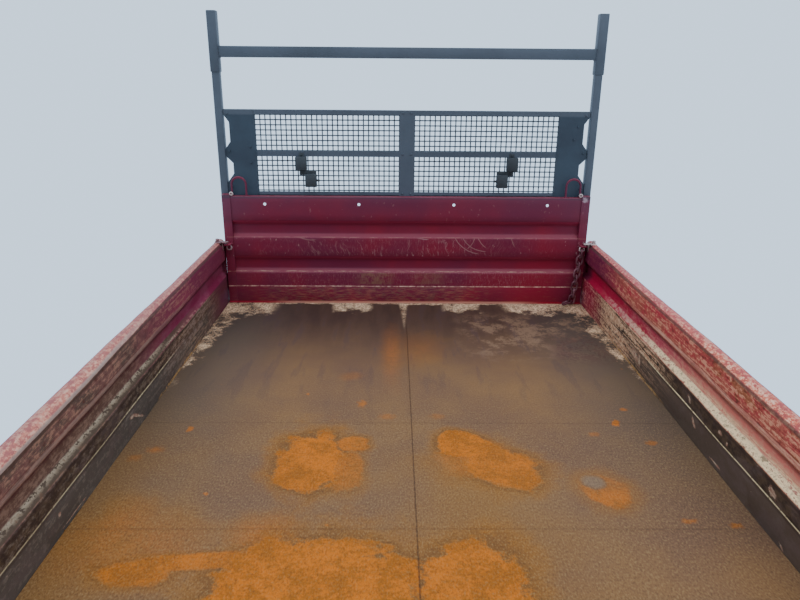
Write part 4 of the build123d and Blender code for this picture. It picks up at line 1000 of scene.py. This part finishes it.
def make_rack():
    middle = RACK_Y + UPRIGHT / 2
    half = UPRIGHT / 2
    for side, name in ((1, "right"), (-1, "left")):
        x = side * UPRIGHT_X
        tube = bar((x - half, RACK_Y, FLOOR + 0.06), (x + half, RACK_Y + UPRIGHT, BAR_LOW), TUBE_EDGE)
        fit([tube], f"rack_tube_{name}", "rack_paint", f"rack_upright_{name}")
    half = SLEEVE / 2
    rear, front = middle - half, middle + half
    parts = [bar((-UPRIGHT_X + half, rear, BAR_LOW), (UPRIGHT_X - half, front, BAR_HIGH), TUBE_EDGE)]
    for side in SIDES:
        x = side * UPRIGHT_X
        inner = x - side * half
        parts += [
            bar((x - half, rear, SLEEVE_LOW), (x + half, front, RACK_TOP), TUBE_EDGE),
            bead((inner, rear, BAR_LOW), (inner, front, BAR_LOW), 0.003),
            bead((inner, rear, BAR_HIGH), (inner, front, BAR_HIGH), 0.003),
            bead((inner, rear, BAR_LOW), (inner, rear, BAR_HIGH), 0.003),
        ]
    locks = [(side * UPRIGHT_X, front, SLEEVE_LOW + 0.03) for side in SIDES]
    parts.append(bolts("locks", 0.01, locks, (0, 1, 0)))
    fit(parts, "rack_goalpost_tubes", "rack_paint", "rack_goalpost")


WIRE = 0.0065  # across
FIRST_ROW = FLOOR + 0.602
ROW_PITCH = 0.0265
FIRST_COLUMN = 0.04  # beside the guard's centre post
COLUMN_PITCH = 0.0273


def make_mesh():
    low, high = level_box("guard_mesh_cross_wires")
    uprights_low, uprights_high = level_box("guard_mesh_uprights")
    depth = (low.y + high.y) / 2
    rows = [FIRST_ROW + ROW_PITCH * n for n in range(17)]
    cross = [rod((low.x, depth, z), (high.x, depth, z), WIRE / 2, 8, 0) for z in rows]
    depth = (uprights_low.y + uprights_high.y) / 2
    columns = [side * (FIRST_COLUMN + COLUMN_PITCH * n) for n in range(29) for side in SIDES]
    upright = [rod((x, depth, low.z), (x, depth, high.z), WIRE / 2, 8, 0) for x in columns]
    for name, wires in (("cross_wires", cross), ("uprights", upright)):
        fit(wires, f"mesh_{name}", "mesh_wire", f"guard_mesh_{name}")


LAMP_MIDDLES = ((0.563, FLOOR + 0.778), (0.513, FLOOR + 0.688))
LAMP = 0.031  # half its width


def make_lamps():
    face = level_box("work_lamp_right")[1].y
    back, front = face - 0.004, face - 0.040
    parts = [
        bar((0.550, back, FLOOR + 0.736), (0.576, face, FLOOR + 0.832), 0.001),
        bar((0.4855, back, FLOOR + 0.714), (0.5755, face, FLOOR + 0.740), 0.001),
    ]
    for x, z in LAMP_MIDDLES:
        for half_width, near, far, half_height, edge in (
            (LAMP, front + 0.006, back - 0.008, LAMP + 0.004, 0.004),  # body
            (LAMP - 0.001, front, front + 0.007, LAMP + 0.003, 0.003),  # bezel
            (LAMP - 0.007, front - 0.0005, front + 0.004, LAMP - 0.003, 0.002),  # lens
        ):
            corners = (x - half_width, near, z - half_height), (x + half_width, far, z + half_height)
            parts.append(bar(*corners, edge))
        for n in range(5):
            rib = x - LAMP + 0.004 + 0.011 * n
            parts.append(bar((rib, back - 0.010, z - LAMP), (rib + 0.004, back, z + LAMP), 0.0008))
    lamp_bolts = [(0.563, back, FLOOR + z) for z in (0.822, 0.728)]
    parts.append(bolts("lamp_bolts", 0.007, lamp_bolts, (0, -1, 0)))
    gland = (face - 0.022, FLOOR + 0.688)
    parts.append(rod((0.467, *gland), (0.486, *gland), 0.006, 12, 0.001))
    fit_pair(parts, "lamp_pair", "lamp_housing", "work_lamp")


EYE_MIDDLE = Vector((0.966, HEAD - 0.032, FLOOR + SIDE_HEIGHT - 0.027))
EYE_RADIUS = 0.0125
KEEPER_TOP = FLOOR + SIDE_HEIGHT - 0.007


def make_headboard_posts():
    low, high = level_box("headboard_post_left")
    low, high = Vector((-high.x, low.y, low.z)), Vector((-low.x, high.y, high.z))
    strip = HEAD - 0.005
    strip_x = low.x + 0.046
    shelf = (EYE_MIDDLE.x - 0.012, EYE_MIDDLE.x + 0.024)
    shelf_low = KEEPER_TOP - 0.006
    parts = [
        bar((low.x, HEAD, low.z), (high.x, high.y, high.z - 0.004), 0.004),
        bar((low.x, HEAD, high.z - 0.006), high, 0.0015),
        bar((low.x, strip, FLOOR), (strip_x, HEAD + 0.001, high.z - 0.001), 0.001),
        bar((shelf[0], HEAD - 0.05, shelf_low), (shelf[1], strip, KEEPER_TOP), 0.0012),
        bead((shelf[0], strip, shelf_low), (shelf[1], strip, shelf_low), 0.0025),
        ring(EYE_MIDDLE, (0, 1, 0), EYE_RADIUS, 0.0035, 1.4),
        bead((low.x + 0.002, strip, FLOOR + 0.003), (strip_x, strip, FLOOR + 0.003), 0.004),
    ]
    fit_pair(parts, "corner_post", "red_paint", "headboard_post")
    shackle = Vector((0.943, HEAD + 0.006, FLOOR + HEAD_HEIGHT + 0.012))
    rings = [
        ring(EYE_MIDDLE, (0, 1, 0), EYE_RADIUS, 0.0042, 1.4),
        ring(shackle, (0, 1, 0), 0.0075, 0.0042, 1.6),
    ]
    fit_pair(rings, "corner_rings", "latch_bright", slot="latch_zinc")


def make_side_latches():
    rim = FLOOR + SIDE_HEIGHT
    finger = 0.972
    top = rim + 0.006
    parts = []
    for y in (HEAD - 0.035, TAIL + 0.035):
        x = RIM_X - 0.014
        parts += [
            bar((finger, y - 0.016, rim), (SIDE_X + 0.01, y + 0.016, top), 0.002),
            bar((SIDE_X, y - 0.022, rim), (RIM_X - 0.002, y + 0.022, top), 0.002),
            rod((x, y, rim + 0.004), (x, y, rim + 0.010), 0.0125, 24, 0.0015),
            rod((x, y, rim + 0.004), (x, y, rim + 0.022), 0.009, 24, 0.002),
            rod((x, y - 0.020, rim + 0.015), (x, y + 0.020, rim + 0.015), 0.003, 12, 0.0008),
        ]
    rivets = [(1.004, HEAD - back, rim + 0.005) for back in (0.05, 0.02)]
    parts.append(bolts("latch_rivets", 0.005, rivets, (0, 0, 1)))
    handle = [(0.043, 0.006), (0.027, 0.006), (0.027, -0.020)]
    handle += [(0.031, -0.042), (0.039, -0.042), (0.043, -0.020)]
    handle = [(SIDE_X - 0.008, HEAD - back, rim + up) for back, up in handle]
    parts.append(plate(handle, (0.006, 0, 0), 0.0018))
    fit_pair(parts, "rim_latches", "latch_bright", "side_latches", on_side=True, slot="latch_zinc")


LINK_LENGTH = 0.0625
LINK_WIDTH = 0.042
LINK_ROD = 0.0055  # its radius
LINK_REACH = LINK_LENGTH / 2 - LINK_ROD  # from a link's middle to the middle of the rod at its end
LINK_PITCH = 0.0379
HANGING_LINKS = 8
CHAIN_LEAN = math.radians(5.7)
LINK_SLOPE = math.radians(20)  # of the link that lies on the floor


def make_chain():
    bpy.ops.mesh.primitive_torus_add(
        major_segments=24, minor_segments=10, major_radius=LINK_WIDTH / 2 - LINK_ROD,
        minor_radius=LINK_ROD)
    first = active("link")
    for way in (1, -1):
        select(first, "VERT", lambda vertex: vertex.co.x * way > 0.001)
        bpy.ops.transform.translate(value=(way * (LINK_LENGTH - LINK_WIDTH) / 2, 0, 0))
        leave_edit()
    down = Vector((-math.sin(CHAIN_LEAN), 0, -math.cos(CHAIN_LEAN)))
    across = Vector((math.cos(CHAIN_LEAN), 0, -math.sin(CHAIN_LEAN)))
    top = EYE_MIDDLE + down * LINK_REACH
    rows = [
        (top + down * LINK_PITCH * n, down, Vector((0, 1, 0)) if n % 2 else across)
        for n in range(HANGING_LINKS)
    ]
    lying = Vector((-math.cos(LINK_SLOPE), 0, -math.sin(LINK_SLOPE)))
    upright = Vector((-math.sin(LINK_SLOPE), 0, math.cos(LINK_SLOPE)))
    end_rod = rows[-1][0] + down * 0.012
    rows.append((end_rod + lying * LINK_REACH, lying, upright))
    links = []
    for middle, along, face in rows:
        turn = Matrix((along, face.cross(along), face)).transposed().to_4x4()
        links.append(copy(first, "link", Matrix.Translation(middle) @ turn))
    bpy.data.objects.remove(first)
    fit(links, "corner_chain_links", "chain_rust", "corner_chain", slot="latch_zinc", smooth=60)


CROSS_YS = [0.54 - 0.305 * n for n in range(3)] + [0.96 + 0.305 * n for n in range(7)]
BEAMS = (-0.406, -0.354, 0.354, 0.406)  # both faces of the two long bearers


def make_small_bed_fittings():
    """Welds at the rope loops' feet, bolts of the guard, and what holds the bearers and pins."""
    hem = FLOOR + HEAD_HEIGHT + 0.001
    feet = [(side * x, HEAD + 0.02, hem) for side in SIDES for x in (0.864, 0.941)]
    welds = [ring(foot, (0, 0, 1), 0.0065, 0.0028) for foot in feet]
    fit(welds, "loop_welds", "red_paint")
    guard = RACK_Y + 0.010
    spots = [(side * 0.945, guard, z) for side in SIDES for z in (0.645, 0.835, 1.03)]
    spots += [(side * 0.022, guard - 0.008, z) for side in SIDES for z in (0.615, 0.826, 1.038)]
    odd = ((-0.834, 0.775), (-0.834, 0.858), (0.89, 0.907), (0.906, 0.972))
    spots += [(x, guard, z) for x, z in odd]
    spots = [(x, y, FLOOR + z) for x, y, z in spots]
    fit([bolts("bolts", 0.006, spots, (0, -1, 0))], "guard_bolts", "rack_paint")
    cross = level_box("cross_bearers")[0].z
    beam = level_box("rear_beam")[0].z
    lines = [(x, y - 0.024, y + 0.024, cross) for y in CROSS_YS for x in (*BEAMS, -0.948, 0.948)]
    lines += [(x, TAIL + 0.001, TAIL + 0.049, beam) for x in BEAMS]
    welds = [bead((x, rear, z), (x, front, z), 0.0032) for x, rear, front, z in lines]
    fit(welds, "underside_welds", "bed_steel")
    ends = [
        pin_end((side * SIDE_PIN[0], y + way * 0.036, SIDE_PIN[1]), (0, way, 0), 0.008)
        for y in STRAPS for side in SIDES for way in SIDES
    ]
    fit(ends, "side_hinge_pin_ends", "latch_zinc", slot="bed_steel")
    nipples = []
    for side in SIDES:
        foot, neck, tip = (Vector((side * 0.38, y, HINGE.z)) for y in (-0.029, -0.037, -0.044))
        nipples += [rod(foot, neck, 0.006, 6, 0.0008), rod(neck, tip, 0.003, 12, 0.001)]
    fit(nipples, "grease_nipples", "latch_zinc", slot="bed_steel")


CLEAT_YS = (0.4, 1.05, 1.9, 2.6)
CROSSMEMBER_YS = (0.26, 1.25, 1.8, 2.35, 2.85)


def make_subframe_fittings():
    """Bolts in the cleats' feet, welds, and the ends of the hinge pins."""
    fixed = {"body": "subframe", "turn": FIXED}
    spots = [
        (side * 0.445, y + way * 0.035, 0.008) for side in SIDES for y in CLEAT_YS for way in SIDES
    ]
    cleat_bolts = bolts("bolts", 0.015, spots, (0, 0, 1))
    fit([cleat_bolts], "cleat_bolts", "latch_zinc", slot="subframe_steel", **fixed)
    welds = []
    for side in SIDES:
        for ys, x, reach, low, high, radius in (
            (CLEAT_YS, 0.4105, 0.061, 0.012, 0.106, 0.0035),
            (CROSSMEMBER_YS, 0.4045, 0.0305, 0.032, 0.108, 0.0032),
        ):
            for y in ys:
                for way in SIDES:
                    corner = (side * x, y + way * reach)
                    welds.append(bead((*corner, low), (*corner, high), radius))
    fit(welds, "subframe_welds", "subframe_steel", **fixed)
    ends = [
        pin_end((side * x, 0, HINGE.z), (side * way, 0, 0), 0.015)
        for x, way in ((0.430, 1), (0.330, -1)) for side in SIDES
    ]
    fit(ends, "hinge_pin_ends", "latch_zinc", slot="subframe_steel", **fixed)


RAM_BODIES = ("ram_barrel", "ram_stage_1", "ram_stage_2", "ram_stage_3")
RAM_RADII = (0.054, 0.046, 0.038, 0.030)  # of what slides out of each
WIPER_ROD = 0.0022  # radius
WIPER_SUNK = 0.0016  # so that a wiper stands little proud, and the collars clear it


def make_ram_fittings():
    """Wiper rings where the stages slide out, the gland's screws, and the oil port."""
    joints = {joint["name"]: joint for joint in frame["joints"]}
    foot = Vector(joints["ram_tilt"]["pos_m"])
    along = Vector(joints["ram_slide_1"]["axis"]).normalized()
    tops = [
        max((vertex.co - foot).dot(along) for vertex in frame["nodes"][body].data.vertices)
        for body in RAM_BODIES
    ]
    still = Matrix()
    for body, radius, top in zip(RAM_BODIES, RAM_RADII, tops):
        wiper = ring(foot + along * (top - WIPER_SUNK), along, radius + 0.0028, WIPER_ROD)
        fit([wiper], f"{body}_wiper", "landing_rubber", body=body, turn=still, smooth=60)
    side_way = Vector((1, 0, 0))
    up_way = along.cross(side_way)
    spots = []
    for n in range(8):
        angle = math.radians(22.5 + 45 * n)
        outwards = side_way * math.cos(angle) + up_way * math.sin(angle)
        spots.append(foot + along * tops[0] + outwards * 0.0615)
    port = foot + along * 0.03 + up_way * -0.062
    parts = [
        bolts("gland_screws", 0.004, spots, along),
        rod(port, port - up_way * 0.016, 0.016, 20, 0.0015),
        rod(port - up_way * 0.012, port - up_way * 0.026, 0.013, 6, 0.0015),
    ]
    fit(parts, "ram_gland_and_port", "latch_zinc", slot="ram_paint", body="ram_barrel", turn=still)


for make in (
    make_headboard, make_dropsides, make_tailboard, make_floor, make_rack, make_mesh, make_lamps,
    make_headboard_posts, make_side_latches, make_chain, make_small_bed_fittings,
    make_subframe_fittings, make_ram_fittings,
):
    make()


# Floor, sky and camera

EYE = Vector((-0.072, -3.539, 1.235))  # from the headboard's foot: right, forwards, up
PITCH = math.radians(18.98)
YAW = math.radians(0.67)
ROLL = math.radians(0.47)
LENS = 29.66  # mm


def set_stage():
    bpy.ops.mesh.primitive_plane_add(size=60, location=(0, 0, -0.002))
    ground = bpy.context.object
    ground.name = "studio_floor"
    f = Finish("studio_floor")
    f.base = f.mix(f.noise(f.here, 0.4).rise(0.3, 0.7), "CCCBC8", "D3D2CF")
    ground.data.materials.append(f.surface(0.9))


def set_light():
    world = bpy.data.worlds.new("overcast")
    bpy.context.scene.world = world
    world.use_nodes = True
    sky = world.node_tree.nodes["Background"]
    sky.inputs["Color"].default_value = colour("B7CCE2")
    sky.inputs["Strength"].default_value = 2.1
    target = Vector((0, -0.3, 1.6))
    for name, place, size, power in (
        ("high", (-1.5, -3.0, 8.0), 6.0, 170),
        ("behind", (2.0, -7.0, 3.0), 5.0, 90),
    ):
        lamp = bpy.data.lights.new(name, "AREA")
        lamp.energy = power
        lamp.color = (1.0, 0.95, 0.87)
        lamp.size = size
        light = bpy.data.objects.new(name, lamp)
        bpy.context.collection.objects.link(light)
        light.location = place
        light.rotation_euler = (target - Vector(place)).to_track_quat("-Z", "Y").to_euler()


def set_camera():
    bpy.ops.object.camera_add()
    camera = bpy.context.object
    camera.data.lens = LENS
    camera.data.clip_end = 200
    turn = (
        Matrix.Rotation(-YAW, 4, "Z")
        @ Matrix.Rotation(math.pi / 2 - PITCH, 4, "X")
        @ Matrix.Rotation(ROLL, 4, "Z")
    )
    foot = Matrix.Translation(Vector((0, HEAD, FLOOR)) + EYE)
    camera.matrix_world = RAISED @ foot @ turn
    bpy.context.scene.camera = camera


set_stage()
set_light()
set_camera()
